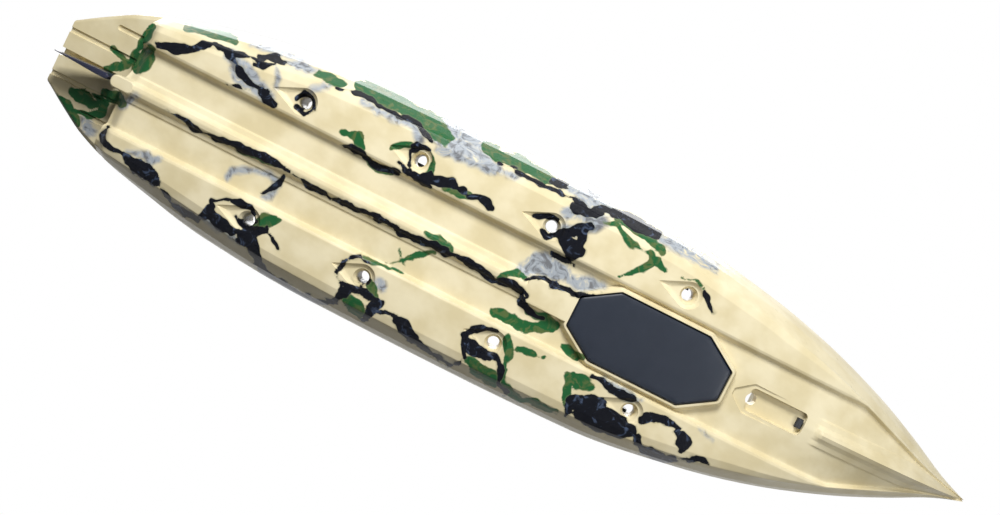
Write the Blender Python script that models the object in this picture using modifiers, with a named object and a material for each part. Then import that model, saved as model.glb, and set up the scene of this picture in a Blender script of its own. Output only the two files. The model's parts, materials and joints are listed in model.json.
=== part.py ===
"""Sit-on-top pedal fishing kayak, modelled piece by piece.

Metres, +X towards the bow, +Y to port, +Z up. The origin is under the middle of the boat, on the
ground that its keel and its two outer pads rest on.
"""
import math

import bmesh
import bpy
from mathutils import Matrix, Vector

# Overall sizes of the hull
LENGTH = 3.955
BEAM = 0.917
SIDE_HEIGHT = 0.300
BOW_HEIGHT = 0.365
DECK_RISE = 0.022
BOW_CROWN = 0.036
WALL = 0.005
GAP = 0.0003
FLAT_ANGLE = 0.5

# Underside: keel ridge, its flange, the channels and the outer pads
KEEL_HALF = 0.026
FLANGE_HALF = 0.050
STEP_HALF = 0.166
CHANNEL_DEPTH = 0.034
FORE_CHANNEL_DEPTH = 0.024
CHINE_RISE = 0.030
FORE_KEEL_X = 1.234
BLOCK_X = 0.030
BLOCK_HALF = 0.050

# Stern: distances forward of the transom, and the raised lobes beside the rudder
STERN_STEP = 0.3225
STEP_RAMP = 0.055
LOBE_HEIGHT = 0.150
LOBE_RISE = 0.030
NOSE_LENGTH = 0.037
SLOT_HALF = 0.016
SLOT_HEIGHT = 0.215
GROOVE_WIDTH = 0.020
GROOVE_DEPTH = 0.008
GROOVE_Y = (0.090, 0.181)

# Scuppers: four pairs, each a tapered drain in a teardrop recess that points aft
SCUPPER_X = (-1.009, -0.531, 0.015, 0.582)
SCUPPER_Y = 0.243
SCUPPER_MOUTH = 0.0385
SCUPPER_NECK = 0.025
SCUPPER_BORE = 0.0215
SCUPPER_FLARE = 0.032
TEAR_WIDTH = 0.100
TEAR_LENGTH = 0.127
TEAR_DEPTH = 0.014

# Wells in the deck
COCKPIT_X = (-0.110, 1.030)
COCKPIT_HALF = 0.285
COCKPIT_FRONT_HALF = 0.190
COCKPIT_TAPER = 0.170
COCKPIT_FLOOR = 0.105
SEAT_BAY_X = (-0.745, -0.080)
SEAT_BAY_HALF = 0.290
SEAT_BAY_FLOOR = 0.165
TANK_X = (-1.450, -0.830)
TANK_HALF = (0.238, 0.285)
TANK_FLOOR = 0.200
WELL_FILLET = 0.018
WELL_CORNER = 0.060
WELL_RIM = 0.010

# Drive well and its insert, an elongated octagon
INSERT_X = (0.228, 0.853)
INSERT_HALF = 0.142
INSERT_END_HALF = 0.059
INSERT_CHAMFER = 0.130
INSERT_FIT = 0.003
INSERT_WALL = 0.004
INSERT_FLANGE = 0.026
INSERT_SEAL = 0.003
LAND_MARGIN = 0.012
LAND_SLOPE = 0.016
BAIL_WIRE = 0.003
BAIL_HALF = 0.045
BAIL_REACH = 0.060
BAIL_INSET = 0.012

# Transducer pocket under the bow
POCKET_X = (0.896, 1.223)
POCKET_SHOULDER = 0.957
POCKET_HALF = 0.059
POCKET_LEDGE = 0.005
POCKET_INNER_X = (0.986, 1.190)
POCKET_INNER_HALF = 0.046
POCKET_TOP = 0.058
POCKET_DRAIN_X = 0.971
POCKET_DRAIN = 0.024

# Bow hatch
HATCH_X = (1.120, 1.450)
HATCH_HALF = (0.150, 0.105)
HATCH_CORNER = 0.045
COAMING_WIDTH = 0.022
COAMING_TOP = 0.392
SEAL_THICKNESS = 0.003
LID_THICKNESS = 0.005
LID_LIP = 0.012
HINGE_OFFSET = 0.050
KNUCKLE = 0.008
HINGE_PIN = 0.003
LATCH_Y = 0.080
LATCH_OFFSET = 0.040
LATCH_LENGTH = 0.046

# Round hatch in the cockpit floor
ROUND_HATCH_X = 0.060
ROUND_HATCH_BORE = 0.056
ROUND_HATCH_RIM = 0.080

# Rudder and its steering
RUDDER_AXIS = 0.2625
RUDDER_CHORD = 0.2325
RUDDER_HALF = 0.011
RUDDER_BOTTOM = 0.012
RUDDER_TOP = 0.142
STOCK = 0.006
BUSH = 0.0117
TILLER = 0.050
CABLE = 0.003
LEVER_AT = (-0.035, 0.372)
LEVER_REACH = 0.110
GLAND_AT = (-1.545, 0.050)
GLAND_LENGTH = 0.075

# Seat
SEAT_X = (-0.600, -0.190)
SEAT_HALF = 0.215
SEAT_TUBE = 0.0095
SEAT_HEIGHT = 0.290
CUSHION = 0.046
CUSHION_EDGE = 0.012
RAIL_X = (-0.700, -0.125)
RAIL_WIDTH = 0.020
RAIL_HEIGHT = 0.012
LEG_X = (-0.550, -0.250)
BACK_PIVOT = 0.392
BACK_LENGTH = 0.330
BACK_LEAN = 12.0
BACK_PIN = 0.004
BACK_PAD = 0.024

# Foot rests
FOOT_RAIL_X = (0.300, 0.820)
FOOT_RAIL_Z = 0.165
FOOT_RAIL_HEIGHT = 0.026
FOOT_RAIL_DEPTH = 0.010
PEDAL_X = 0.560
PEDAL_WIDTH = 0.085
PEDAL_HEIGHT = 0.150

# Deck fittings
TRACK_X = (0.110, 0.550)
TRACK_Y = 0.366
TRACK_WIDTH = 0.030
TRACK_HEIGHT = 0.011
ROD_HOLDER_AT = (-0.780, 0.348)
ROD_HOLDER_LEAN = 20.0
ROD_HOLDER_TUBE = 0.025
ROD_HOLDER_BORE = 0.021
ROD_HOLDER_DEPTH = 0.200
SIDE_HANDLE_X = (-0.480, -0.280)
SIDE_HANDLE_Y = 0.395
SIDE_HANDLE_REACH = 0.060
HANDLE_WIRE = 0.007
BOW_HANDLE_X = (1.700, 1.830)
STERN_HANDLE_X = -1.890
STERN_HANDLE_HALF = 0.065
HANDLE_HEIGHT = 0.034
EYE_X = (-1.400, -1.140, -0.880)
EYE_Y = (0.275, 0.305, 0.320)
BUNGEE = 0.0035
DRAIN_AT = (-1.560, -0.120)
DRAIN = 0.012

# Outlines along the boat: share of the half length from the middle, share of the half beam
GUNWALE = (
    (-1.0, 0.300), (-0.946, 0.451), (-0.89, 0.589), (-0.774, 0.759), (-0.592, 0.920), (-0.354, 0.991),
    (-0.025, 1.0), (0.217, 0.981), (0.45, 0.848), (0.602, 0.700), (0.754, 0.485), (0.855, 0.299),
    (0.951, 0.098), (1.0, 0.014),
)
CHINE = (
    (-0.837, 0.571), (-0.718, 0.637), (-0.597, 0.702), (-0.453, 0.781), (-0.1, 0.818), (0.192, 0.807),
    (0.425, 0.700), (0.551, 0.587), (0.678, 0.425), (0.809, 0.244), (0.91, 0.105), (1.0, 0.008),
)
# Heights along the boat: share of the half length, share of the bow's height
KEEL_LINE = ((0.5, 0.0), (0.62, 0.03), (0.72, 0.12), (0.81, 0.27), (0.90, 0.50), (0.96, 0.74), (1.0, 0.93))
FORE_CHINE = ((0.4, 0.0), (0.55, 0.04), (0.68, 0.12), (0.81, 0.19), (0.91, 0.18), (1.0, -0.06))

HALF_LENGTH = LENGTH / 2
HALF_BEAM = BEAM / 2
DECK = SIDE_HEIGHT + DECK_RISE
STEP_X = STERN_STEP - HALF_LENGTH
LATCH_BASE = COAMING_TOP + SEAL_THICKNESS + LID_THICKNESS + 0.001
RUDDER_X = RUDDER_AXIS - HALF_LENGTH
SIDES = (("port", 1), ("starboard", -1))


# Small helpers for outlines and curves

def fair(table, at):
    """Height of a smooth monotone curve through a table's rows, held level past its ends."""
    if at <= table[0][0]:
        return table[0][1]
    if at >= table[-1][0]:
        return table[-1][1]
    steps = [(b[1] - a[1]) / (b[0] - a[0]) for a, b in zip(table, table[1:])]
    inner = [0.0 if p * q <= 0 else 2 * p * q / (p + q) for p, q in zip(steps, steps[1:])]
    slope = [steps[0], *inner, steps[-1]]
    i = next(k for k, row in enumerate(table[1:]) if at <= row[0])
    (x0, y0), (x1, y1) = table[i], table[i + 1]
    run = x1 - x0
    s = (at - x0) / run
    ends = (1 + 2 * s) * (1 - s) ** 2 * y0 + s * s * (3 - 2 * s) * y1
    return ends + run * s * (1 - s) * ((1 - s) * slope[i] - s * slope[i + 1])


def ease(low, high, at):
    """0 below low, 1 above high, and a smooth rise between them."""
    s = min(1.0, max(0.0, (at - low) / (high - low)))
    return s * s * (3 - 2 * s)


def mix(a, b, share):
    return a + (b - a) * share


def offset(outline, distance):
    """A convex anticlockwise outline, moved outwards."""
    moved = []
    for i, corner in enumerate(outline):
        here = Vector(corner)
        before = (here - Vector(outline[i - 1])).normalized()
        after = (Vector(outline[(i + 1) % len(outline)]) - here).normalized()
        n1, n2 = Vector((before.y, -before.x)), Vector((after.y, -after.x))
        moved.append(here + (n1 + n2) * (distance / (1 + n1.dot(n2))))
    return moved


def rounded(outline, radius, steps=3):
    """A convex anticlockwise outline with an arc at each corner."""
    points = []
    for i, corner in enumerate(outline):
        here = Vector(corner)
        before = (here - Vector(outline[i - 1])).normalized()
        after = (Vector(outline[(i + 1) % len(outline)]) - here).normalized()
        n1, n2 = Vector((before.y, -before.x)), Vector((after.y, -after.x))
        centre = here - (n1 + n2) * (radius / (1 + n1.dot(n2)))
        turn = n1.angle(n2)
        start = math.atan2(n1.y, n1.x)
        for k in range(steps + 1):
            a = start + turn * k / steps
            points.append(centre + radius * Vector((math.cos(a), math.sin(a))))
    return points


def rectangle(x0, x1, half0, half1=None):
    """Anticlockwise corners of a straight or tapered rectangle about the centre line."""
    half1 = half0 if half1 is None else half1
    return [(x0, -half0), (x1, -half1), (x1, half1), (x0, half0)]


def octagon(margin=0.0):
    """Outline of the drive well insert, with a margin round it."""
    x0, x1 = INSERT_X
    cut, end = INSERT_CHAMFER, INSERT_END_HALF
    corners = [
        (x0, -end), (x0 + cut, -INSERT_HALF), (x1 - cut, -INSERT_HALF), (x1, -end),
        (x1, end), (x1 - cut, INSERT_HALF), (x0 + cut, INSERT_HALF), (x0, end),
    ]
    return offset(corners, margin)


def bent(points, radius, steps=3):
    """A path whose inner corners are rounded, for bent tube and wire."""
    path = [Vector(points[0])]
    for before, here, after in zip(points, points[1:], points[2:]):
        here = Vector(here)
        into, out = (Vector(before) - here).normalized(), (Vector(after) - here).normalized()
        reach = radius / math.tan(into.angle(out) / 2)
        for k in range(steps + 1):
            s = k / steps
            path.append(here + into * reach * (1 - s) ** 2 + out * reach * s ** 2)
    path.append(Vector(points[-1]))
    return path


# Scene and mesh helpers

def start():
    for old in list(bpy.data.objects):
        bpy.data.objects.remove(old, do_unlink=True)
    collections = []
    for name in ("fishing_kayak", "cutters"):
        group = bpy.data.collections.new(name)
        bpy.context.scene.collection.children.link(group)
        collections.append(group)
    return collections


def finish(name, colour, roughness, metallic=0.0):
    made = bpy.data.materials.new(name)
    made.use_nodes = True
    shader = made.node_tree.nodes["Principled BSDF"]
    shader.inputs["Base Color"].default_value = (*colour, 1.0)
    shader.inputs["Roughness"].default_value = roughness
    shader.inputs["Metallic"].default_value = metallic
    return made


PARTS, CUTTERS = start()
SAND = finish("sand_polyethylene", (0.73, 0.62, 0.37), 0.35)
BLACK = finish("black_plastic", (0.022, 0.025, 0.031), 0.42)
RUBBER = finish("black_rubber", (0.02, 0.02, 0.02), 0.8)
NAVY = finish("dark_blade_plastic", (0.012, 0.018, 0.045), 0.35)
STEEL = finish("stainless_steel", (0.62, 0.62, 0.60), 0.28, 1.0)
ALLOY = finish("anodised_tube", (0.10, 0.10, 0.11), 0.38, 1.0)
CLOTH = finish("seat_fabric", (0.09, 0.10, 0.10), 0.9)
CORD = finish("bungee_cord", (0.03, 0.03, 0.03), 0.75)


def object_from(name, mesh, group, look=None):
    made = bpy.data.objects.new(name, mesh)
    group.objects.link(made)
    if group is CUTTERS:
        made.hide_render = True
        made.display_type = "WIRE"
    if look:
        mesh.materials.clear()
        mesh.materials.append(look)
    return made


def mesh_of(name, bm):
    bmesh.ops.recalc_face_normals(bm, faces=bm.faces)
    mesh = bpy.data.meshes.new(name)
    bm.to_mesh(mesh)
    bm.free()
    return mesh


def baked(made):
    """The object with its modifiers, or its curve, turned into a plain welded mesh in place."""
    bpy.context.view_layer.update()
    graph = bpy.context.evaluated_depsgraph_get()
    mesh = bpy.data.meshes.new_from_object(made.evaluated_get(graph))
    mesh.transform(made.matrix_world)
    bm = bmesh.new()
    bm.from_mesh(mesh)
    bmesh.ops.remove_doubles(bm, verts=bm.verts, dist=0.00001)
    bm.to_mesh(mesh)
    bm.free()
    group, look, name = made.users_collection[0], made.active_material, made.name
    bpy.data.objects.remove(made, do_unlink=True)
    return object_from(name, mesh, group, look)


def loft(name, rings, group=None, look=None):
    """A closed solid through rings of equally many points, capped at both ends."""
    bm = bmesh.new()
    loops = [[bm.verts.new(point) for point in ring] for ring in rings]
    for low, high in zip(loops, loops[1:]):
        for i, vert in enumerate(low):
            bm.faces.new((low[i - 1], vert, high[i], high[i - 1]))
    bm.faces.new(loops[0][::-1])
    bm.faces.new(loops[-1])
    return object_from(name, mesh_of(name, bm), group or CUTTERS, look)


def stack(name, layers, group=None, look=None):
    """A solid through flat outlines, each at its own height: layers of (outline, z)."""
    return loft(name, [[(p[0], p[1], z) for p in outline] for outline, z in layers], group, look)


def plate(name, outline, z0, z1, group=None, look=None):
    """A flat outline as a filled curve, extruded from z0 to z1."""
    curve = bpy.data.curves.new(name, "CURVE")
    curve.dimensions = "2D"
    curve.fill_mode = "BOTH"
    curve.extrude = (z1 - z0) / 2
    spline = curve.splines.new("POLY")
    spline.points.add(len(outline) - 1)
    for point, corner in zip(spline.points, outline):
        point.co = (corner[0], corner[1], 0.0, 1.0)
    spline.use_cyclic_u = True
    made = object_from(name, curve, group or CUTTERS)
    made.location.z = (z0 + z1) / 2
    made = baked(made)
    if look:
        made.data.materials.clear()
        made.data.materials.append(look)
    return made


def tube(name, path, radius, group=None, look=None, sides=1, closed=False):
    """A round bar along a path."""
    curve = bpy.data.curves.new(name, "CURVE")
    curve.dimensions = "3D"
    curve.bevel_depth = radius
    curve.bevel_resolution = sides
    curve.use_fill_caps = not closed
    spline = curve.splines.new("POLY")
    spline.points.add(len(path) - 1)
    for point, place in zip(spline.points, path):
        point.co = (*place, 1.0)
    spline.use_cyclic_u = closed
    made = baked(object_from(name, curve, group or CUTTERS))
    if look:
        made.data.materials.clear()
        made.data.materials.append(look)
    return made


def box(name, low, high, group=None, look=None, bevel=0.0):
    """A block between two corners, with its edges bevelled where asked."""
    bm = bmesh.new()
    bmesh.ops.create_cube(bm, size=1.0)
    size = [b - a for a, b in zip(low, high)]
    centre = [(a + b) / 2 for a, b in zip(low, high)]
    bmesh.ops.transform(bm, matrix=Matrix.Translation(centre) @ Matrix.Diagonal((*size, 1)), verts=bm.verts)
    if bevel:
        bmesh.ops.bevel(bm, geom=bm.edges, offset=bevel, segments=1, affect="EDGES", profile=0.5)
    return object_from(name, mesh_of(name, bm), group or CUTTERS, look)


def drum(name, at, axis, radius, length, group=None, look=None, sides=12, radius2=None):
    """A cylinder or cone, centred at a point and along an axis."""
    bm = bmesh.new()
    bmesh.ops.create_cone(
        bm, cap_ends=True, segments=sides, radius1=radius,
        radius2=radius if radius2 is None else radius2, depth=length,
    )
    turn = Vector((0, 0, 1)).rotation_difference(Vector(axis)).to_matrix().to_4x4()
    bmesh.ops.transform(bm, matrix=Matrix.Translation(at) @ turn, verts=bm.verts)
    return object_from(name, mesh_of(name, bm), group or CUTTERS, look)


def turned(name, profile, at, group=None, look=None, sides=16):
    """A turned piece: a profile of (radius, z), outer side running down, spun about a vertical axis."""
    bm = bmesh.new()
    verts = [bm.verts.new((radius, 0.0, z)) for radius, z in profile]
    for a, b in zip(verts, verts[1:]):
        bm.edges.new((a, b))
    if profile[0][0] > 0:
        bm.edges.new((verts[-1], verts[0]))
    mesh = bpy.data.meshes.new(name)
    bm.to_mesh(mesh)
    bm.free()
    made = object_from(name, mesh, group or CUTTERS, look)
    made.location = at
    screw = made.modifiers.new("spin", "SCREW")
    screw.steps = screw.render_steps = sides
    screw.use_merge_vertices = True
    screw.merge_threshold = 0.00001
    screw.use_smooth_shade = False
    return baked(made)


def merged(name, objects, group=None):
    """Separate solids gathered in one mesh, so that one Boolean takes them all."""
    bm = bmesh.new()
    for each in objects:
        bm.from_mesh(each.data)
        bpy.data.objects.remove(each, do_unlink=True)
    mesh = bpy.data.meshes.new(name)
    bm.to_mesh(mesh)
    bm.free()
    return object_from(name, mesh, group or CUTTERS)


def combine(target, other, operation, overlapping=False):
    """Cut, join or intersect a solid with another, and drop the other."""
    boolean = target.modifiers.new(operation.lower(), "BOOLEAN")
    boolean.operation = operation
    boolean.solver = "EXACT"
    boolean.use_self = overlapping
    boolean.object = other
    result = baked(target)
    bpy.data.objects.remove(other, do_unlink=True)
    return result


def cut(target, *others):
    return combine(target, merged("cutter", others) if len(others) > 1 else others[0], "DIFFERENCE")


def join(target, *others):
    return combine(target, merged("addition", others) if len(others) > 1 else others[0], "UNION")


def tidy(made, angle=35.0):
    """Merge leftover flat edges, then shade round faces smooth and keep the sharp edges."""
    bm = bmesh.new()
    bm.from_mesh(made.data)
    bmesh.ops.remove_doubles(bm, verts=bm.verts, dist=0.00002)
    bmesh.ops.dissolve_limit(
        bm, angle_limit=math.radians(FLAT_ANGLE), use_dissolve_boundaries=False,
        verts=bm.verts, edges=bm.edges, delimit=set(),
    )
    bm.to_mesh(made.data)
    bm.free()
    made.data.shade_smooth()
    made.data.set_sharp_from_angle(angle=math.radians(angle))
    return made


# The hull's form

def half_beam(x):
    return HALF_BEAM * fair(GUNWALE, x / HALF_LENGTH)


def half_chine(x):
    return HALF_BEAM * fair(CHINE, x / HALF_LENGTH)


def keel_height(x):
    return BOW_HEIGHT * fair(KEEL_LINE, x / HALF_LENGTH)


def side_height(x):
    return mix(SIDE_HEIGHT, BOW_HEIGHT, ease(0.36, 1.25, x / HALF_LENGTH) / ease(0.36, 1.25, 1.0))


def crown(x):
    """Rise of the deck's middle over its edge, which only the bow has."""
    share = x / HALF_LENGTH
    return BOW_CROWN * ease(0.50, 0.62, share) * (1 - ease(0.62, 1.02, share))


def channel_depth(x):
    fore = ease(INSERT_X[1] - 0.25, INSERT_X[1] + 0.05, x)
    return mix(CHANNEL_DEPTH, FORE_CHANNEL_DEPTH, fore) * min(1.0, half_chine(x) / 0.085)


def ridge_share(x):
    """1 where the keel ridge stands proud, 0 between the drive well and the fore keel."""
    return 1.0 - ease(INSERT_X[0] - 0.02, INSERT_X[0] + 0.02, x) + ease(FORE_KEEL_X, FORE_KEEL_X + 0.03, x)


def stern_ramp(x):
    """Rise of the channels and pads just ahead of the step to the lobes."""
    return 0.034 * ease(-STEP_X - STEP_RAMP, -STEP_X, -x)


def fore_rise(x):
    return BOW_HEIGHT * fair(FORE_CHINE, x / HALF_LENGTH)


def side_points(x, chine, chine_z):
    """From above the chine, over the gunwale, to the middle of the deck."""
    beam, height = half_beam(x), side_height(x)
    fit = min(1.0, beam / 0.05)
    deck = height + DECK_RISE * fit
    sides = [(0.22, 0.42), (0.5, 0.72), (0.78, 0.91)]
    points = [(mix(chine, beam, out), mix(chine_z, height, up)) for up, out in sides]
    points += [(beam, height), (beam - 0.006 * fit, height + 0.6 * DECK_RISE * fit)]
    edge = beam - 0.022 * fit
    for share in (1.0, 0.7, 0.35, 0.0):
        points.append((edge * share, deck + crown(x) * (1 - share * share)))
    return points


def hull_section(x):
    """Half a section of the hull ahead of the step, from the keel's middle to the deck's middle."""
    chine, base, depth = half_chine(x), keel_height(x), channel_depth(x)
    ridge, ramp, rise = ridge_share(x), stern_ramp(x), fore_rise(x)
    fit = min(1.0, chine / 0.085)
    keel, flange = KEEL_HALF * fit, FLANGE_HALF * fit
    step = min(STEP_HALF, chine - 0.016 * fit)
    pad = chine - step
    top = base + depth * (1 - ridge)
    floor = base + depth + ramp
    low = base + ramp
    points = [
        (0.0, top), (0.55 * keel, top + 0.003 * ridge * fit), (0.92 * keel, top + 0.011 * ridge * fit),
        (keel + 0.005 * fit, mix(floor, top, 0.35 * ridge)), (flange, floor - 0.006 * ridge * fit),
        (flange + 0.006 * fit, floor), (mix(flange, step, 0.5), floor), (step - 0.006 * fit, floor),
        (step + min(0.006, 0.2 * pad), low + 0.004 * fit), (step + min(0.016, 0.4 * pad), low),
        (mix(step, chine, 0.5), low), (chine - min(0.045, 0.35 * pad), low),
        (chine - min(0.014, 0.12 * pad), low + 0.3 * CHINE_RISE * fit),
    ]
    points = [(y, z + rise * y / chine) for y, z in points]
    chine_z = base + CHINE_RISE * fit + rise + ramp
    return points + [(chine, chine_z)] + side_points(x, chine, chine_z)


def lobe_height(x):
    return LOBE_HEIGHT + LOBE_RISE * (STEP_X - x) / STERN_STEP


def lobe_section(x):
    """Half a section of the stern behind the step, with as many points as the hull's."""
    chine, base = 0.95 * half_beam(x), lobe_height(x)
    shares = (0.0, 0.06, 0.12, 0.2, 0.28, 0.36, 0.44, 0.52, 0.6, 0.68, 0.76, 0.86, 0.94)
    points = [(chine * share, base) for share in shares]
    return points + [(chine, base + 0.012)] + side_points(x, chine, base + 0.012)


def closed_ring(x, half):
    """A whole ring from half a section, round from the keel up the port side and down to starboard."""
    return [(x, y, z) for y, z in half] + [(x, -y, z) for y, z in half[-2:0:-1]]


def stations(low, high, step, *extra):
    """Evenly spaced places with others among them, none nearer than a quarter step to an extra one."""
    count = max(1, round((high - low) / step))
    even = [low + (high - low) * i / count for i in range(count + 1)]
    fixed = sorted({x for x in extra if low < x < high} | {low, high})
    kept = [x for x in even if all(abs(x - f) > step / 4 for f in fixed)]
    return sorted(kept + fixed)


def hull_stations():
    fore = INSERT_X[0]
    return stations(
        STEP_X, HALF_LENGTH, 0.15, STEP_X + STEP_RAMP, STEP_X + STEP_RAMP / 2, fore - 0.02, fore + 0.02,
        FORE_KEEL_X, FORE_KEEL_X + 0.03, 0.70 * HALF_LENGTH, 0.82 * HALF_LENGTH, 0.88 * HALF_LENGTH,
        0.925 * HALF_LENGTH, 0.955 * HALF_LENGTH, 0.978 * HALF_LENGTH, 0.992 * HALF_LENGTH,
    )


def outer_form():
    step_foot = 0.012
    aft = stations(-HALF_LENGTH, STEP_X - step_foot, 0.075, -HALF_LENGTH + 0.02)
    rings = [closed_ring(x, lobe_section(x)) for x in aft]
    rings += [closed_ring(x, hull_section(x)) for x in hull_stations()]
    return loft("hull", rings, PARTS, SAND)


def inner_section(x):
    chine, base, depth = half_chine(x), keel_height(x), channel_depth(x)
    rise, ramp = fore_rise(x), stern_ramp(x)
    fit = min(1.0, chine / 0.085)
    step = min(STEP_HALF, chine - 0.05 * fit)
    pad = ease(0.05, 0.075, chine - STEP_HALF)
    floor = base + depth + ramp + 1.2 * WALL
    low = mix(floor, base + ramp + 1.2 * WALL, pad)
    deep = ease(STEP_X + STEP_RAMP, STEP_X + 2.5 * STEP_RAMP, x) * ease(-0.01, 0.12, BLOCK_X - x)
    keel = mix(floor, base + 0.003 + 1.6 * WALL, deep)
    chine_z = base + CHINE_RISE * fit + rise + ramp
    inset = chine - 1.5 * WALL
    beam, height = half_beam(x), side_height(x)
    deck = height + DECK_RISE * min(1.0, beam / 0.05) - 1.1 * WALL
    points = [
        (0.0, keel), (0.4 * KEEL_HALF * fit, keel), (1.15 * KEEL_HALF * fit, floor), (step - 0.012 * fit, floor),
        (min(step + 0.026, inset - 0.03 * fit), low), (inset - 0.016 * fit, low + 0.003),
    ]
    points = [(y, z + rise * y / chine) for y, z in points]
    return points + [
        (inset, chine_z + WALL), (mix(chine, beam, 0.72) - 1.2 * WALL, mix(chine_z, height, 0.5)),
        (beam - 1.2 * WALL, height - WALL), (beam - 0.028 * fit, deck), (0.0, deck + crown(x)),
    ]


def inner_lobe_section(x):
    beam, base, height = half_beam(x), lobe_height(x) + WALL, side_height(x)
    chine = 0.95 * beam
    return [
        (0.0, base), (0.2 * chine, base), (0.4 * chine, base), (0.6 * chine, base), (0.8 * chine, base),
        (chine - 2.5 * WALL, base),
        (chine - 1.4 * WALL, base + WALL), (chine - 1.2 * WALL, mix(base, height, 0.6)),
        (beam - 1.4 * WALL, height - WALL), (beam - 0.03, height + DECK_RISE - 1.1 * WALL),
        (0.0, height + DECK_RISE - WALL),
    ]


def inner_form():
    """The hollow inside the hull, before the wells' walls are taken from it."""
    aft = stations(-HALF_LENGTH + 1.5 * WALL, STEP_X + 0.006, 0.11)
    ahead = [STEP_X + 0.018] + [x for x in hull_stations() if STEP_X + 0.02 < x < 0.93 * HALF_LENGTH]
    rings = [closed_ring(x, inner_lobe_section(x)) for x in aft]
    rings += [closed_ring(x, inner_section(x)) for x in ahead]
    return loft("hollow", rings)


# Wells, drains and recesses, each with a margin that leaves a wall round it

def well(name, outline, floor, margin):
    """A moulded well, open at the deck: filleted at its floor, flared at its rim."""
    def corner(more):
        return rounded(offset(outline, margin + more), max(0.004, WELL_CORNER + margin + more))

    floor -= margin
    return stack(name, [
        (corner(-WELL_FILLET), floor), (corner(-0.3 * WELL_FILLET), floor + 0.3 * WELL_FILLET),
        (corner(0.0), floor + WELL_FILLET), (corner(0.0), DECK - WELL_RIM),
        (corner(WELL_RIM), DECK + margin), (corner(WELL_RIM), DECK + 0.08),
    ])


def cockpit_outline():
    x0, x1 = COCKPIT_X
    bend = x1 - COCKPIT_TAPER
    return [
        (x0, -COCKPIT_HALF), (bend, -COCKPIT_HALF), (x1, -COCKPIT_FRONT_HALF),
        (x1, COCKPIT_FRONT_HALF), (bend, COCKPIT_HALF), (x0, COCKPIT_HALF),
    ]


def scupper(x, side, floor, margin):
    """A turned drain, wide at its mouth, from under the pad to above the floor that it drains."""
    return turned("scupper", [
        (0.0, floor + 0.03), (SCUPPER_BORE + margin, floor + 0.03), (SCUPPER_NECK + margin, SCUPPER_FLARE),
        (SCUPPER_MOUTH + margin, 0.004), (SCUPPER_MOUTH + margin, -0.03), (0.0, -0.03),
    ], (x, side * SCUPPER_Y, 0.0), sides=12)


def teardrop(x, side, margin):
    """The sloped recess that runs aft from a scupper's mouth to a point."""
    bm = bmesh.new()
    wide, deep = TEAR_WIDTH / 2 + margin, TEAR_DEPTH + margin
    for radius, z in ((wide + 0.012, -0.02), (0.78 * wide, deep)):
        for k in range(12):
            a = math.tau * k / 12
            bm.verts.new((radius * math.cos(a), radius * math.sin(a), z))
    for z, reach in ((-0.02, TEAR_LENGTH + margin + 0.02), (0.2 * deep, TEAR_LENGTH + margin - 0.02)):
        bm.verts.new((-reach, 0.0, z))
    hull = bmesh.ops.convex_hull(bm, input=bm.verts)
    inside = {v for v in hull["geom_interior"] + hull["geom_unused"] if isinstance(v, bmesh.types.BMVert)}
    bmesh.ops.delete(bm, geom=list(inside), context="VERTS")
    bmesh.ops.translate(bm, verts=bm.verts, vec=(x, side * SCUPPER_Y, 0.0))
    return object_from("teardrop", mesh_of("teardrop", bm), CUTTERS)


def groove(side, y, margin):
    """A long round-ended groove in the underside of a stern lobe."""
    long = STERN_STEP - 0.045
    fore = STEP_X - 0.030
    aft = -HALF_LENGTH - 0.02 if y == GROOVE_Y[0] else fore - 0.45 * long
    half = GROOVE_WIDTH / 2
    centre = side * y
    corners = [(aft, centre - half), (fore, centre - half), (fore, centre + half), (aft, centre + half)]
    outline = rounded(offset(corners, margin), 0.9 * half + margin, 2)
    low = LOBE_HEIGHT - 0.02
    return loft("groove", [
        [(x, yy, low) for x, yy in outline],
        [(x, yy, lobe_height(x) + GROOVE_DEPTH + margin) for x, yy in outline],
    ])


def rudder_slot(margin):
    outline = rounded(offset(rectangle(-HALF_LENGTH - 0.04, STEP_X - 0.012, SLOT_HALF), margin), 0.012 + margin, 2)
    return stack("rudder_slot", [(outline, LOBE_HEIGHT - 0.03), (outline, SLOT_HEIGHT + margin)])


def deep_wells(margin):
    """Wells that don't touch each other: cockpit, tank well, stern lobes' grooves and rudder slot."""
    made = [
        well("cockpit", cockpit_outline(), COCKPIT_FLOOR, margin),
        well("tank_well", rectangle(*TANK_X, *TANK_HALF), TANK_FLOOR, margin),
        rudder_slot(margin),
    ]
    made += [groove(side, y, margin) for _, side in SIDES for y in GROOVE_Y]
    made += [teardrop(x, side, margin) for _, side in SIDES for x in SCUPPER_X]
    return made


def crossing_wells(margin):
    """Wells that run into the first ones: seat bay, drive well, pocket ledge and rudder trunk."""
    x0, x1 = POCKET_X
    ledge = [
        (x0, -0.012), (POCKET_SHOULDER, -POCKET_HALF), (x1, -POCKET_HALF), (x1, POCKET_HALF),
        (POCKET_SHOULDER, POCKET_HALF), (x0, 0.012),
    ]
    ledge = rounded(offset(ledge, margin), 0.006 + margin, 2)
    drive = rounded(octagon(INSERT_FIT + margin), 0.012 + margin, 2)
    base = FORE_CHANNEL_DEPTH + keel_height(sum(POCKET_X) / 2)
    return [
        well("seat_bay", rectangle(*SEAT_BAY_X, SEAT_BAY_HALF), SEAT_BAY_FLOOR, margin),
        stack("drive_well", [(drive, -0.05), (drive, COCKPIT_FLOOR + 0.05)]),
        stack("pocket_ledge", [(ledge, -0.03), (ledge, base + POCKET_LEDGE + margin)]),
        drum("rudder_trunk", (RUDDER_X, 0, DECK - 0.05), (0, 0, 1), BUSH + GAP + margin, 0.26),
    ]


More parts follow.
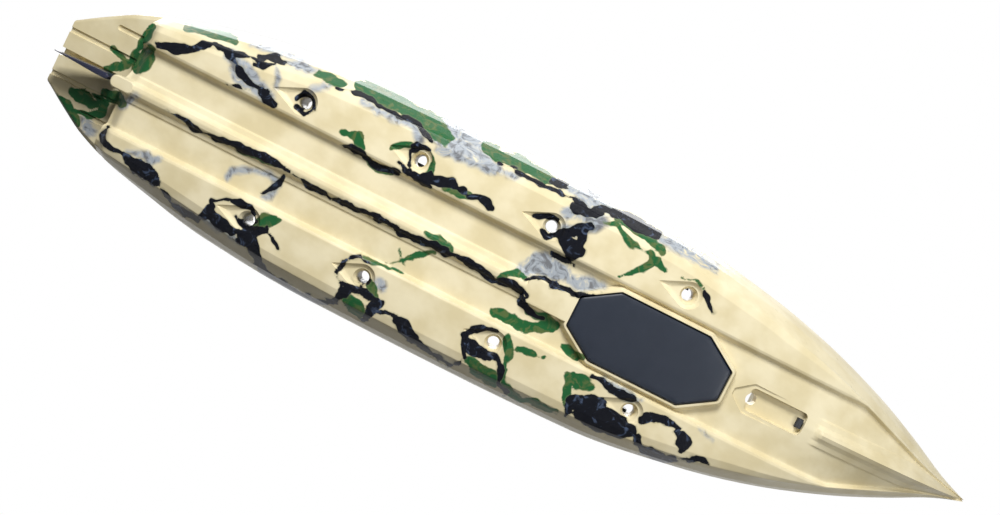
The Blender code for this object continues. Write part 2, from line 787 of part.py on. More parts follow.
def drains(margin):
    """Scuppers and the transducer pocket with its own drain, which open into the wells above them."""
    floors = (TANK_FLOOR, SEAT_BAY_FLOOR, COCKPIT_FLOOR, COCKPIT_FLOOR)
    made = [scupper(x, side, floor, margin) for _, side in SIDES for x, floor in zip(SCUPPER_X, floors)]
    inner = rectangle(POCKET_INNER_X[0] - 0.03, POCKET_INNER_X[1], POCKET_INNER_HALF)
    outline = rounded(offset(inner, margin), 0.018 + margin, 2)
    top = offset(inner, margin - 0.004)
    pocket = stack("pocket", [(outline, -0.03), (rounded(top, 0.014 + margin, 2), POCKET_TOP + margin)])
    drain = drum(
        "pocket_drain", (POCKET_DRAIN_X, 0, COCKPIT_FLOOR), (0, 0, 1), POCKET_DRAIN + margin, 0.16,
        radius2=0.75 * POCKET_DRAIN + margin,
    )
    return made, [pocket, drain]


def hatch_outline(margin):
    return rounded(offset(rectangle(*HATCH_X, *HATCH_HALF), margin), HATCH_CORNER + margin)


def additions():
    """What stands on the lofted form: drive well land, keel nose, hatch coaming, hinge ledge, bosses."""
    land = rounded(octagon(LAND_MARGIN), 0.02, 2)
    wide = rounded(octagon(LAND_MARGIN + LAND_SLOPE), 0.03, 2)
    block = rounded(rectangle(BLOCK_X, INSERT_X[0] + 0.05, BLOCK_HALF), 0.014, 2)
    block_wide = rounded(rectangle(BLOCK_X - 0.006, INSERT_X[0] + 0.05, BLOCK_HALF + 0.006), 0.018, 2)
    nose = rounded(rectangle(STEP_X - NOSE_LENGTH, STEP_X + 0.06, KEEL_HALF), 0.9 * KEEL_HALF, 4)
    ledge_x = HATCH_X[1] + HINGE_OFFSET
    made = [
        stack("land", [(land, 0.0), (wide, CHANNEL_DEPTH + 0.004)]),
        stack("keel_block", [(block, 0.0), (block_wide, CHANNEL_DEPTH + 0.004)]),
        stack("keel_nose", [(offset(nose, -0.006), 0.0), (nose, 0.008), (nose, LOBE_HEIGHT + 0.02)]),
        stack("coaming", [(hatch_outline(COAMING_WIDTH), DECK), (hatch_outline(COAMING_WIDTH), COAMING_TOP)]),
        box("hinge_ledge", (HATCH_X[1], -0.05, DECK), (ledge_x + 0.03, 0.05, COAMING_TOP - KNUCKLE)),
        box(
            "handle_boss", (BOW_HANDLE_X[0] - 0.014, -0.014, BOW_HEIGHT - 0.02),
            (BOW_HANDLE_X[1] + 0.014, 0.014, BOW_HEIGHT + DECK_RISE + 0.006),
        ),
    ]
    for _, side in SIDES:
        at = (HATCH_X[0] - LATCH_OFFSET, side * LATCH_Y, mix(DECK, LATCH_BASE, 0.5))
        made.append(drum("latch_boss", at, (0, 0, 1), 0.009, LATCH_BASE - DECK, sides=10))
    return made


def skin_holes():
    """Holes through one wall: hatches, rod holders, latch stems, cable ends and the drain."""
    made = [
        stack("hatch_hole", [(hatch_outline(0.0), SIDE_HEIGHT - 0.02), (hatch_outline(0.0), COAMING_TOP + 0.02)]),
        drum("round_hole", (ROUND_HATCH_X, 0, COCKPIT_FLOOR), (0, 0, 1), ROUND_HATCH_BORE + 0.004 + GAP, 0.03,
             sides=20),
        drum("drain_hole", (*DRAIN_AT, DECK), (0, 0, 1), DRAIN + GAP, 0.03),
        drum("gland_hole", (*GLAND_AT, DECK), (0, 0, 1), CABLE + 0.0006, 0.015, sides=8),
        drum("lever_hole", (*LEVER_AT, DECK), (0, 0, 1), CABLE + 0.0006, 0.015, sides=8),
    ]
    for _, side in SIDES:
        lean = math.radians(ROD_HOLDER_LEAN)
        at = (ROD_HOLDER_AT[0], side * ROD_HOLDER_AT[1], DECK)
        axis = (-math.sin(lean), 0, math.cos(lean))
        made.append(drum("rod_hole", at, axis, ROD_HOLDER_TUBE + GAP, 0.04))
        stem = (HATCH_X[0] - LATCH_OFFSET, side * LATCH_Y, LATCH_BASE)
        made.append(drum("stem_hole", stem, (0, 0, 1), 0.004 + GAP, 0.04, sides=8))
    return made


def make_hull():
    hollow = inner_form()
    scuppers, pocket = drains(WALL)
    for group in (deep_wells(WALL), crossing_wells(WALL), scuppers, pocket[:1], pocket[1:]):
        hollow = cut(hollow, *group)
    hull = combine(outer_form(), merged("additions", additions()), "UNION", overlapping=True)
    hull = cut(hull, hollow)
    scuppers, pocket = drains(0.0)
    for group in (deep_wells(0.0), crossing_wells(0.0), scuppers, pocket[:1], pocket[1:], skin_holes()):
        hull = cut(hull, *group)
    return tidy(hull)


# Drive well insert and the transducer pocket's bracket

def make_insert():
    seat = COCKPIT_FLOOR + INSERT_SEAL + 2 * GAP
    top = seat + 0.006

    def ring(margin):
        return rounded(octagon(margin), 0.010, 1)

    layers = [(ring(-0.004), 0.002), (ring(0.0), 0.006), (ring(0.0), seat), (ring(INSERT_FLANGE), seat),
              (ring(INSERT_FLANGE), top - 0.002), (ring(INSERT_FLANGE - 0.002), top)]
    tub = stack("drive_insert", layers, PARTS, BLACK)
    hollow = stack("tub", [(ring(-INSERT_WALL), 0.002 + INSERT_WALL), (ring(-INSERT_WALL), top + 0.02)])
    ears, holes = [], []
    pivot_z = top + 0.005 + BAIL_WIRE
    for pivot_x in bail_pivots():
        for side in (1, -1):
            y0, y1 = sorted((side * (BAIL_HALF + 0.011), side * (BAIL_HALF + 0.019)))
            ears.append(box("ear", (pivot_x - 0.006, y0, top - 0.001), (pivot_x + 0.006, y1, pivot_z + 0.007)))
        holes.append(drum("pivot", (pivot_x, 0, pivot_z), (0, 1, 0), BAIL_WIRE + 0.0005, 0.2, sides=8))
    tidy(cut(join(cut(tub, hollow), *ears), *holes))
    low, high = COCKPIT_FLOOR + GAP, COCKPIT_FLOOR + GAP + INSERT_SEAL
    seal = plate("insert_seal", ring(INSERT_FLANGE), low, high, PARTS, RUBBER)
    cut(seal, plate("inside", ring(INSERT_FIT + 0.001), low - 0.01, high + 0.01))
    for name, pivot_x, reach in zip(("aft", "fore"), bail_pivots(), (BAIL_REACH, -BAIL_REACH)):
        end, half = BAIL_HALF + 0.023, BAIL_HALF
        path = [(pivot_x, end), (pivot_x, half), (pivot_x + reach, half)]
        path += [(x, -y) for x, y in reversed(path)]
        path = bent([(x, y, pivot_z) for x, y in path], 0.007, 2)
        tidy(tube(f"insert_bail_{name}", path, BAIL_WIRE, PARTS, STEEL), 60)


def bail_pivots():
    return INSERT_X[0] - BAIL_INSET, INSERT_X[1] + BAIL_INSET


def make_cable_bracket():
    x1, top = POCKET_INNER_X[1] - 0.006, POCKET_TOP - GAP
    block = box("cable_bracket", (x1 - 0.024, -0.019, top - 0.018), (x1, 0.019, top), PARTS, BLACK, 0.002)
    tidy(cut(block, drum("cable_way", (x1, 0, top - 0.009), (1, 0, 0), 0.005, 0.1, sides=8)))


# Rudder and steering

def make_rudder():
    lead = RUDDER_X + RUDDER_HALF
    form = ((0.0, 0.35), (0.05, 1.0), (0.22, 0.96), (0.6, 0.62), (0.9, 0.26), (1.0, 0.10))
    rings = []
    for share, thick in form:
        x, half = lead - share * RUDDER_CHORD, thick * RUDDER_HALF
        low = RUDDER_BOTTOM + 0.020 * share ** 2
        high = RUDDER_TOP - 0.035 * share ** 2
        rings.append([(x, 0.45 * half, low), (x, half, low + 0.022), (x, half, high),
                      (x, -half, high), (x, -half, low + 0.022), (x, -0.45 * half, low)])
    blade = loft("rudder_blade", rings, PARTS, NAVY)
    neck_top = SLOT_HEIGHT - 0.005 - GAP
    neck = drum("neck", (RUDDER_X, 0, (RUDDER_TOP - 0.02 + neck_top) / 2), (0, 0, 1), RUDDER_HALF + 0.0005,
                neck_top - RUDDER_TOP + 0.02)
    socket = drum("socket", (RUDDER_X, 0, 0.03 + 0.2), (0, 0, 1), STOCK + GAP, 0.4)
    tidy(cut(join(blade, neck), socket))
    hub = DECK + 0.004 + GAP
    turned("rudder_stock", [(0, hub + 0.019), (STOCK, hub + 0.019), (STOCK, 0.031), (0, 0.031)],
           (RUDDER_X, 0, 0), PARTS, STEEL, 12)
    bore, low, top = STOCK + GAP, SLOT_HEIGHT - 0.005, SLOT_HEIGHT + 0.030
    turned("rudder_bush_lower", [(bore, top), (BUSH, top), (BUSH, SLOT_HEIGHT - GAP), (0.0150, SLOT_HEIGHT - GAP),
                                 (0.0150, low), (bore, low)], (RUDDER_X, 0, 0), PARTS, BLACK, 12)
    low, top = DECK - 0.030, DECK + 0.004
    turned("rudder_bush_upper", [(bore, top), (0.020, top), (0.020, DECK + GAP), (BUSH, DECK + GAP),
                                 (BUSH, low), (bore, low)], (RUDDER_X, 0, 0), PARTS, BLACK, 12)
    arm = drum("tiller_arm", (RUDDER_X, 0, hub + 0.008), (0, 0, 1), 0.014, 0.016, PARTS, ALLOY)
    bar = box("bar", (RUDDER_X - 0.008, 0.0, hub + 0.003), (RUDDER_X + 0.008, TILLER + 0.008, hub + 0.010))
    pin = drum("pin", (RUDDER_X, TILLER, hub + 0.014), (0, 0, 1), 0.0025, 0.016, sides=8)
    arm = join(join(arm, bar), pin)
    tidy(cut(arm, drum("bore", (RUDDER_X, 0, hub), (0, 0, 1), STOCK + GAP, 0.1)))
    make_steering_rod(hub)
    make_steering_lever()


def make_steering_rod(hub):
    """A push rod with a slotted yoke round the tiller's pin, and the hooded gland that it slides in."""
    z = hub + 0.0135
    yoke = box("steering_rod", (RUDDER_X - 0.008, TILLER - 0.018, z - 0.003), (RUDDER_X + 0.008, TILLER + 0.010, z + 0.003),
               PARTS, STEEL)
    gland_x, gland_y = GLAND_AT
    aft = gland_x + 0.010 - GLAND_LENGTH
    tip = aft + 0.030
    start_x = RUDDER_X + 0.006
    rod = drum("rod", ((start_x + tip) / 2, gland_y, z), (1, 0, 0), 0.0024, tip - start_x, sides=8)
    slot = box("slot", (RUDDER_X - 0.0040, TILLER - 0.0135, z - 0.01), (RUDDER_X + 0.0040, TILLER + 0.0045, z + 0.01))
    tidy(cut(join(yoke, rod), slot))
    low = DECK + GAP
    rings = []
    for share, half, height in ((0.0, 0.007, 0.030), (0.55, 0.010, 0.032), (0.85, 0.013, 0.024), (1.0, 0.012, 0.006)):
        x = aft + share * GLAND_LENGTH
        rings.append([(x, gland_y + half, low), (x, gland_y + 0.7 * half, low + height),
                      (x, gland_y - 0.7 * half, low + height), (x, gland_y - half, low)])
    gland = loft("cable_gland", rings, PARTS, BLACK)
    tidy(cut(gland, drum("bore", (aft + 0.0285, gland_y, z), (1, 0, 0), 0.0029, 0.059, sides=8)))
    tidy(tube("steering_cable", through(cable_route(), 2), CABLE, PARTS, RUBBER), 60)


def cable_route():
    """The steering cable inside the port side, from the gland to the lever."""
    (gx, gy), (lx, ly) = GLAND_AT, LEVER_AT
    return [
        (gx, gy, DECK - 0.0005), (gx, gy, DECK - 0.012), (gx, gy, DECK - 0.026), (-1.515, 0.110, 0.270), (-1.495, 0.200, 0.262),
        (-1.430, 0.285, 0.258), (-1.250, 0.338, 0.248), (-1.000, 0.376, 0.236), (-0.780, 0.402, 0.226),
        (-0.550, 0.405, 0.226), (-0.250, 0.400, 0.240), (lx - 0.070, ly + 0.010, 0.262), (lx, ly, DECK - 0.026),
        (lx, ly, DECK - 0.012), (lx, ly, DECK - 0.0005),
    ]


def through(points, steps):
    """A smooth path through chosen points."""
    points = [Vector(p) for p in points]
    ends = [2 * points[0] - points[1], *points, 2 * points[-1] - points[-2]]
    path = [points[0]]
    for a, b, c, d in zip(ends, ends[1:], ends[2:], ends[3:]):
        for k in range(1, steps + 1):
            s = k / steps
            path.append(b + 0.5 * s * ((c - a) + s * (2 * a - 5 * b + 4 * c - d + s * (3 * b - a - 3 * c + d))))
    return path


def make_steering_lever():
    x, y = LEVER_AT
    low, top = DECK + GAP, DECK + 0.010
    base = turned("lever_base", [(0, top + 0.012), (0.006, top + 0.012), (0.006, top), (0.022, top),
                                 (0.026, low), (0, low)], (x, y, 0), PARTS, BLACK, 12)
    tidy(base)
    hub_low = top + GAP
    hub = drum("steering_lever", (x, y, hub_low + 0.006), (0, 0, 1), 0.016, 0.012, PARTS, ALLOY)
    arm = loft("arm", [
        [(x, y - 0.011, hub_low + 0.002), (x, y + 0.011, hub_low + 0.002), (x, y + 0.011, hub_low + 0.009),
         (x, y - 0.011, hub_low + 0.009)],
        [(x + LEVER_REACH, y - 0.008, hub_low + 0.010), (x + LEVER_REACH, y + 0.008, hub_low + 0.010),
         (x + LEVER_REACH, y + 0.008, hub_low + 0.015), (x + LEVER_REACH, y - 0.008, hub_low + 0.015)],
    ])
    lever = cut(join(hub, arm), drum("bore", (x, y, hub_low), (0, 0, 1), 0.0063, 0.1))
    tidy(lever)
    knob_x, knob_z = x + LEVER_REACH - 0.012, hub_low + 0.015
    tidy(turned("lever_knob", [(0, 0.030), (0.008, 0.028), (0.012, 0.020), (0.011, 0.012), (0.006, 0.004),
                               (0.006, GAP), (0, GAP)], (knob_x, y, knob_z), PARTS, BLACK, 10), 60)


# Hatches

def make_bow_hatch():
    low = COAMING_TOP + SEAL_THICKNESS + 2 * GAP
    top = low + LID_THICKNESS
    rim, lip = COAMING_WIDTH + 0.004, -0.008
    layers = [(hatch_outline(lip), low - LID_LIP), (hatch_outline(lip), low), (hatch_outline(rim), low),
              (hatch_outline(rim), top - 0.002), (hatch_outline(rim - 0.003), top)]
    lid = stack("hatch_lid", layers, PARTS, SAND)
    hollow = stack("under_lid", [(hatch_outline(lip - 0.004), low - 0.03), (hatch_outline(lip - 0.004), low + 0.001)])
    axis_x, axis_z = HATCH_X[1] + HINGE_OFFSET, hinge_height()
    arm = box("arm", (HATCH_X[1] + COAMING_WIDTH - 0.01, -0.0225, low + 0.0004), (axis_x, 0.0225, top - 0.0004))
    knuckle = drum("knuckle", (axis_x, 0, axis_z), (0, 1, 0), KNUCKLE, 0.045)
    lid = join(join(cut(lid, hollow), arm), knuckle)
    tidy(cut(lid, drum("bore", (axis_x, 0, axis_z), (0, 1, 0), HINGE_PIN + GAP, 0.2)))
    base = COAMING_TOP - KNUCKLE + GAP
    hinge = box("hatch_hinge", (axis_x - 0.018, -0.045, base), (axis_x + 0.022, 0.045, base + 0.003), PARTS, BLACK)
    cheeks, rounds = [], []
    for side in (1, -1):
        y0, y1 = sorted((side * 0.0235, side * 0.0400))
        cheeks.append(box("cheek", (axis_x - 0.007, y0, base + 0.001), (axis_x + 0.007, y1, axis_z)))
        rounds.append(drum("round", (axis_x, (y0 + y1) / 2, axis_z), (0, 1, 0), KNUCKLE, y1 - y0))
    hinge = join(join(hinge, *cheeks), *rounds)
    tidy(cut(hinge, drum("bore", (axis_x, 0, axis_z), (0, 1, 0), HINGE_PIN + GAP, 0.2)))
    drum("hatch_hinge_pin", (axis_x, 0, axis_z), (0, 1, 0), HINGE_PIN, 0.088, PARTS, STEEL, 8)
    gasket = plate("hatch_gasket", hatch_outline(0.016), COAMING_TOP + GAP, COAMING_TOP + GAP + SEAL_THICKNESS,
                   PARTS, RUBBER)
    cut(gasket, plate("inside", hatch_outline(0.004), COAMING_TOP - 0.01, COAMING_TOP + 0.01))
    for name, side in SIDES:
        x, y, z = HATCH_X[0] - LATCH_OFFSET, side * LATCH_Y, LATCH_BASE + GAP
        y0, y1 = sorted((y + side * 0.009, y - side * LATCH_LENGTH))
        latch = box(f"hatch_latch_{name}", (x - 0.008, y0, z), (x + 0.008, y1, z + 0.0045), PARTS, BLACK, 0.001)
        tidy(join(latch, drum("stem", (x, y, z - 0.006), (0, 0, 1), 0.0036, 0.016, sides=8)))


def hinge_height():
    return COAMING_TOP + GAP + 0.003 + 0.0012


def make_round_hatch():
    floor = COCKPIT_FLOOR
    bore, neck, rim = ROUND_HATCH_BORE, ROUND_HATCH_BORE + 0.004, ROUND_HATCH_RIM
    at = (ROUND_HATCH_X, 0, floor)
    tidy(turned("round_hatch_ring", [(bore, 0.008), (neck + 0.004, 0.008), (rim, 0.004), (rim, GAP), (neck, GAP),
                                     (neck, -0.020), (bore, -0.020)], at, PARTS, BLACK, 20))
    plug = 0.97 * bore
    lid = turned("round_hatch_lid", [(0, 0.013), (0.050, 0.013), (0.062, 0.011), (0.062, 0.008 + GAP),
                                     (plug, 0.008 + GAP), (plug, -0.006), (0, -0.006)], at, PARTS, BLACK, 20)
    grip = box("grip", (ROUND_HATCH_X - 0.040, -0.007, floor + 0.010), (ROUND_HATCH_X + 0.040, 0.007, floor + 0.024))
    tidy(join(lid, grip))


# Seat

def soft_block(name, low, high, crown_height, look):
    """A cushion: a coarse block, crowned in the middle of its top, rounded by subdivision."""
    bm = bmesh.new()
    bmesh.ops.create_cube(bm, size=1.0)
    bmesh.ops.subdivide_edges(bm, edges=bm.edges[:], cuts=3, use_grid_fill=True)
    for vert in bm.verts:
        share = [2 * c for c in vert.co]
        for i, c in enumerate(share):
            size = high[i] - low[i]
            if 0.1 < abs(c) < 0.9:
                share[i] = math.copysign(1 - 2 * min(CUSHION_EDGE, size / 4) / size, c)
        on_top = share[2] > 0.9
        vert.co = Vector([mix(a, b, (c + 1) / 2) for a, b, c in zip(low, high, share)])
        if on_top:
            vert.co.z -= crown_height * max(share[0] ** 2, share[1] ** 2)
    made = object_from(name, mesh_of(name, bm), PARTS, look)
    rounding = made.modifiers.new("rounding", "SUBSURF")
    rounding.levels = rounding.render_levels = 1
    return made


def make_seat():
    floor, rail_top = SEAT_BAY_FLOOR, SEAT_BAY_FLOOR + GAP + RAIL_HEIGHT
    for name, side in SIDES:
        y = side * SEAT_HALF
        box(f"seat_rail_{name}", (RAIL_X[0], y - RAIL_WIDTH / 2, floor + GAP), (RAIL_X[1], y + RAIL_WIDTH / 2, rail_top),
            PARTS, ALLOY)
    loop = rounded(rectangle(*SEAT_X, SEAT_HALF), 0.055, 2)
    frame = tube("seat_frame", [(x, y, SEAT_HEIGHT) for x, y in loop], SEAT_TUBE, PARTS, ALLOY, 2, closed=True)
    legs, shoes, lugs, grooves = [], [], [], []
    pivot_x = back_pivot_x()
    for side in (1, -1):
        y = side * SEAT_HALF
        for x in LEG_X:
            middle = (rail_top + SEAT_HEIGHT) / 2
            legs.append(drum("leg", (x, y, middle), (0, 0, 1), 0.0080, SEAT_HEIGHT - rail_top, sides=8))
            shoes.append(box("shoe", (x - 0.028, y - 0.017, floor + 0.0035), (x + 0.028, y + 0.017, rail_top + 0.008)))
        half = RAIL_WIDTH / 2 + 0.0005
        grooves.append(box("groove", (-1, y - half, floor - 0.01), (1, y + half, rail_top + GAP)))
        lugs.append(box("lug", (pivot_x - 0.014, y - 0.003, SEAT_HEIGHT), (pivot_x + 0.014, y + 0.003, BACK_PIVOT + 0.014)))
    frame = cut(join(join(join(frame, *legs), *shoes), *lugs), *grooves)
    hole = drum("hole", (pivot_x, 0, BACK_PIVOT), (0, 1, 0), BACK_PIN + GAP, 1.0, sides=8)
    tidy(cut(frame, hole))
    low = SEAT_HEIGHT + SEAT_TUBE + GAP
    half = SEAT_HALF + CUSHION_EDGE
    soft_block("seat_cushion", (pivot_x + 0.018, -half, low), (SEAT_X[1] + CUSHION_EDGE, half, low + CUSHION),
               0.014, CLOTH)
    make_seat_back()


def back_pivot_x():
    return SEAT_X[0] + 0.012


def make_seat_back():
    """The folding back: an arched tube on two pins, with its pad in front."""
    lean = math.radians(BACK_LEAN)
    pivot_x = back_pivot_x()
    along, normal = Vector((-math.sin(lean), 0, math.cos(lean))), Vector((math.cos(lean), 0, math.sin(lean)))
    foot = Vector((pivot_x, 0, BACK_PIVOT))
    half = SEAT_HALF - 0.016
    side_y = Vector((0, half, 0))
    low, high = foot - along * 0.013, foot + along * BACK_LENGTH
    path = bent([low + side_y, high + side_y, high - side_y, low - side_y], 0.060, 3)
    frame = tube("back_frame", path, SEAT_TUBE, PARTS, ALLOY, 2)
    tidy(cut(frame, drum("hole", foot, (0, 1, 0), BACK_PIN + 0.0008, 1.0, sides=8)), 60)
    for name, side in SIDES:
        drum(f"back_pin_{name}", (pivot_x, side * (half + 0.006), BACK_PIVOT), (0, 1, 0), BACK_PIN, 0.038, PARTS, STEEL, 8)
    across, up = half + 0.8 * CUSHION_EDGE, BACK_LENGTH / 2
    pad = soft_block("back_cushion", (-BACK_PAD / 2, -across, 0.030 - up), (BACK_PAD / 2, across, up), 0.0, CLOTH)
    pad.rotation_euler.y = -lean
    pad.location = foot + along * (BACK_LENGTH / 2 + 0.015) + normal * (SEAT_TUBE + GAP + BACK_PAD / 2)


# Foot rests

def make_foot_rests():
    for name, side in SIDES:
        wall = COCKPIT_HALF - GAP

        def across(a, b):
            return sorted((side * a, side * b))

        y0, y1 = across(wall - FOOT_RAIL_DEPTH, wall)
        half = FOOT_RAIL_HEIGHT / 2
        box(f"foot_rail_{name}", (FOOT_RAIL_X[0], y0, FOOT_RAIL_Z - half), (FOOT_RAIL_X[1], y1, FOOT_RAIL_Z + half),
            PARTS, ALLOY)
        y0, y1 = across(wall - 0.028, wall - 0.0012)
        body = box(f"foot_pedal_{name}", (PEDAL_X - 0.032, y0, FOOT_RAIL_Z - half - 0.009),
                   (PEDAL_X + 0.032, y1, FOOT_RAIL_Z + half + 0.009), PARTS, BLACK)
        y0, y1 = across(wall - 0.024 - PEDAL_WIDTH, wall - 0.020)
        low = FOOT_RAIL_Z - 0.050
        tread = box("tread", (PEDAL_X - 0.005, y0, low), (PEDAL_X + 0.005, y1, low + PEDAL_HEIGHT), bevel=0.002)
        body = join(body, tread)
        ribs = []
        for k in range(5):
            z = low + PEDAL_HEIGHT * (k + 0.7) / 5.4
            ribs.append(box("rib", (PEDAL_X - 0.009, y0 + 0.006, z), (PEDAL_X - 0.003, y1 - 0.006, z + 0.006)))
        body = join(body, *ribs)
        y0, y1 = across(wall - FOOT_RAIL_DEPTH - 0.0005, wall + 0.01)
        channel = box("channel", (PEDAL_X - 1, y0, FOOT_RAIL_Z - half - 0.0005), (PEDAL_X + 1, y1, FOOT_RAIL_Z + half + 0.0005))
        tidy(cut(body, channel))


# Deck fittings

def make_gear_tracks():
    low = DECK + GAP
    half, top = TRACK_WIDTH / 2, low + TRACK_HEIGHT
    lip, slot = 0.004, 0.009
    profile = [(half, low), (half, top), (lip, top), (lip, top - 0.003), (slot, top - 0.003), (slot, low + 0.002)]
    profile += [(-y, z) for y, z in reversed(profile)]
    for name, side in SIDES:
        y = side * TRACK_Y
        loft(f"gear_track_{name}", [[(x, y + dy, z) for dy, z in profile] for x in TRACK_X], PARTS, ALLOY)


def make_rod_holders():
    lean = math.radians(ROD_HOLDER_LEAN)
    axis = Vector((-math.sin(lean), 0, math.cos(lean)))
    for name, side in SIDES:
        foot = Vector((ROD_HOLDER_AT[0], side * ROD_HOLDER_AT[1], DECK))
        middle = foot + axis * (0.018 - ROD_HOLDER_DEPTH) / 2
        tube_part = drum("tube", middle, axis, ROD_HOLDER_TUBE, ROD_HOLDER_DEPTH + 0.018)
        outline = rounded(offset(rectangle(foot.x - 0.046, foot.x + 0.042, 0.036), 0.0), 0.028, 2)
        outline = [(x, y + foot.y) for x, y in outline]
        flange = stack(f"rod_holder_{name}", [(outline, DECK + GAP), (outline, DECK + 0.006)], PARTS, BLACK)
        bore = drum("bore", foot + axis * (0.05 + 0.004 - ROD_HOLDER_DEPTH) / 2, axis, ROD_HOLDER_BORE,
                    ROD_HOLDER_DEPTH + 0.05 - 0.004)
        tidy(cut(join(flange, tube_part), bore))


def make_side_handles():
    z = DECK + 0.013
    x0, x1 = SIDE_HANDLE_X
    for name, side in SIDES:
        y = side * SIDE_HANDLE_Y
        inner = y - side * SIDE_HANDLE_REACH
        path = [(x0 - 0.022, y, z), (x0, y, z), (x0, inner, z), (x1, inner, z), (x1, y, z), (x1 + 0.022, y, z)]
        tidy(tube(f"side_handle_{name}", bent(path, 0.010, 2), HANDLE_WIRE, PARTS, RUBBER), 60)
        for place, x in (("aft", x0 - 0.016), ("fore", x1 + 0.016)):
            block = box(f"side_handle_bracket_{name}_{place}", (x - 0.005, y - 0.013, DECK + GAP),
                        (x + 0.005, y + 0.013, z + HANDLE_WIRE + 0.005), PARTS, BLACK)
            cut(block, drum("hole", (x, y, z), (1, 0, 0), HANDLE_WIRE + 0.0010, 0.1, sides=12))


def make_end_handles():
    foot = BOW_HEIGHT + DECK_RISE + 0.006 + GAP
    x0, x1 = BOW_HANDLE_X
    path = [(x0, 0, foot), (x0, 0, foot + HANDLE_HEIGHT), (x1, 0, foot + HANDLE_HEIGHT), (x1, 0, foot)]
    tidy(tube("bow_handle", bent(path, 0.015, 3), HANDLE_WIRE, PARTS, RUBBER, 2), 60)
    foot, half, x = DECK + GAP, STERN_HANDLE_HALF, STERN_HANDLE_X
    path = [(x, -half, foot), (x, -half, foot + HANDLE_HEIGHT), (x, half, foot + HANDLE_HEIGHT), (x, half, foot)]
    tidy(tube("stern_handle", bent(path, 0.015, 3), HANDLE_WIRE, PARTS, RUBBER, 2), 60)


def make_bungee():
    """Six pad eyes beside the tank well, and one cord laced across it through them."""
    foot = DECK + GAP
    number = 0
    for x, y in zip(EYE_X, EYE_Y):
        for side in (1, -1):
            number += 1
            centre = side * y
            path = [(x, centre - 0.012, foot), (x, centre - 0.012, foot + 0.019),
                    (x, centre + 0.012, foot + 0.019), (x, centre + 0.012, foot)]
            tidy(tube(f"pad_eye_{number}", bent(path, 0.008, 1), 0.003, PARTS, STEEL), 60)
    tidy(tube("bungee_cord", through(bungee_route(), 2), BUNGEE, PARTS, CORD), 60)


def bungee_route():
    low = DECK + 0.0125
    hump = low + 0.010
    aft, mid, fore = ((x, y) for x, y in zip(EYE_X, EYE_Y))
    run = 0.016
    return [
        (aft[0] - 0.030, aft[1] - 0.004, low), (aft[0], aft[1], low), (aft[0] + 0.030, aft[1] - 0.018, low),
        (mid[0] - 0.13, 0.0, low), (mid[0] - 0.030, -mid[1] + 0.018, low), (mid[0], -mid[1], low),
        (mid[0] + 0.030, -mid[1] + 0.018, low), (mid[0] + 0.13, 0.0, low), (fore[0] - 0.030, fore[1] - 0.018, low),
        (fore[0], fore[1], low), (fore[0] + run + 0.006, fore[1] - 0.012, low), (fore[0] + run + 0.014, 0.15, low),
        (fore[0] + run + 0.014, -0.15, low), (fore[0] + run + 0.006, -fore[1] + 0.012, low),
        (fore[0], -fore[1], low), (fore[0] - 0.030, -fore[1] + 0.018, low), (mid[0] + 0.13, 0.0, hump),
        (mid[0] + 0.030, mid[1] - 0.018, low), (mid[0], mid[1], low), (mid[0] - 0.030, mid[1] - 0.018, low),
        (mid[0] - 0.13, 0.0, hump), (aft[0] + 0.030, -aft[1] + 0.018, low), (aft[0], -aft[1], low),
        (aft[0] - 0.030, -aft[1] + 0.004, low),
    ]


def make_drain_plug():
    turned("drain_plug", [(0, DECK + 0.005), (0.014, DECK + 0.005), (0.018, DECK + 0.003), (0.018, DECK + GAP),
                          (DRAIN, DECK + GAP), (DRAIN, DECK - 0.020), (0, DECK - 0.020)], (*DRAIN_AT, 0), PARTS, BLACK, 12)


def main():
    make_hull()
    make_insert()
    make_cable_bracket()
    make_rudder()
    make_bow_hatch()
    make_round_hatch()
    make_seat()
    make_foot_rests()
    make_gear_tracks()
    make_rod_holders()
    make_side_handles()
    make_end_handles()
    make_bungee()
    make_drain_plug()


main()
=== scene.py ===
"""Dressed model of a sit-on-top pedal fishing kayak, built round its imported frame.

Metres, +X towards the bow, +Y to port, +Z up. The boat stands on its keel and two pads at z = 0 and
is seen from below, as when it is lifted to show its underside.
"""

import json
import logging
from dataclasses import dataclass
from enum import Enum
from math import atan2, cos, exp, pi, radians, sin, sqrt, tan, tau
from typing import Callable, Iterable, Sequence

import bmesh
import bpy
import numpy as np
from mathutils import Matrix, Vector
from mathutils.bvhtree import BVHTree

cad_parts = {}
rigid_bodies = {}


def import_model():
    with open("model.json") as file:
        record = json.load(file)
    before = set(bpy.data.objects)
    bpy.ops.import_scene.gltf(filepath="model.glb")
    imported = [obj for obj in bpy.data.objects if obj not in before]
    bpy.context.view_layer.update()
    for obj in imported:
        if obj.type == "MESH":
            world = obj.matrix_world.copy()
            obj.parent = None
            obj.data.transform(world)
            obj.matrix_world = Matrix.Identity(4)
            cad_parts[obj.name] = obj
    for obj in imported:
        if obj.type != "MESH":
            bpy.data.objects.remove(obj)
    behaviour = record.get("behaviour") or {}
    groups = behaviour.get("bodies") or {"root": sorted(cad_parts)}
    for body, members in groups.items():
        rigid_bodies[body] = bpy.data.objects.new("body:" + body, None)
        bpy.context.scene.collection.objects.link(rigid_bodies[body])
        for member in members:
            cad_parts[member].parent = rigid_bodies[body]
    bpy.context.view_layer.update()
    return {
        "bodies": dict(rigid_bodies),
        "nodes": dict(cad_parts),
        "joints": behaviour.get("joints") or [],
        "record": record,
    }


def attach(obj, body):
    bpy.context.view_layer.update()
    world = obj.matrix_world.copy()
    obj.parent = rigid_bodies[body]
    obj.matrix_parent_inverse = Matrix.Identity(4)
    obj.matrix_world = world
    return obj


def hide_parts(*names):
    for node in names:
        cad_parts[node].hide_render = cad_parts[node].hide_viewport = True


LOG = logging.getLogger("kayak")
Point = Sequence[float]
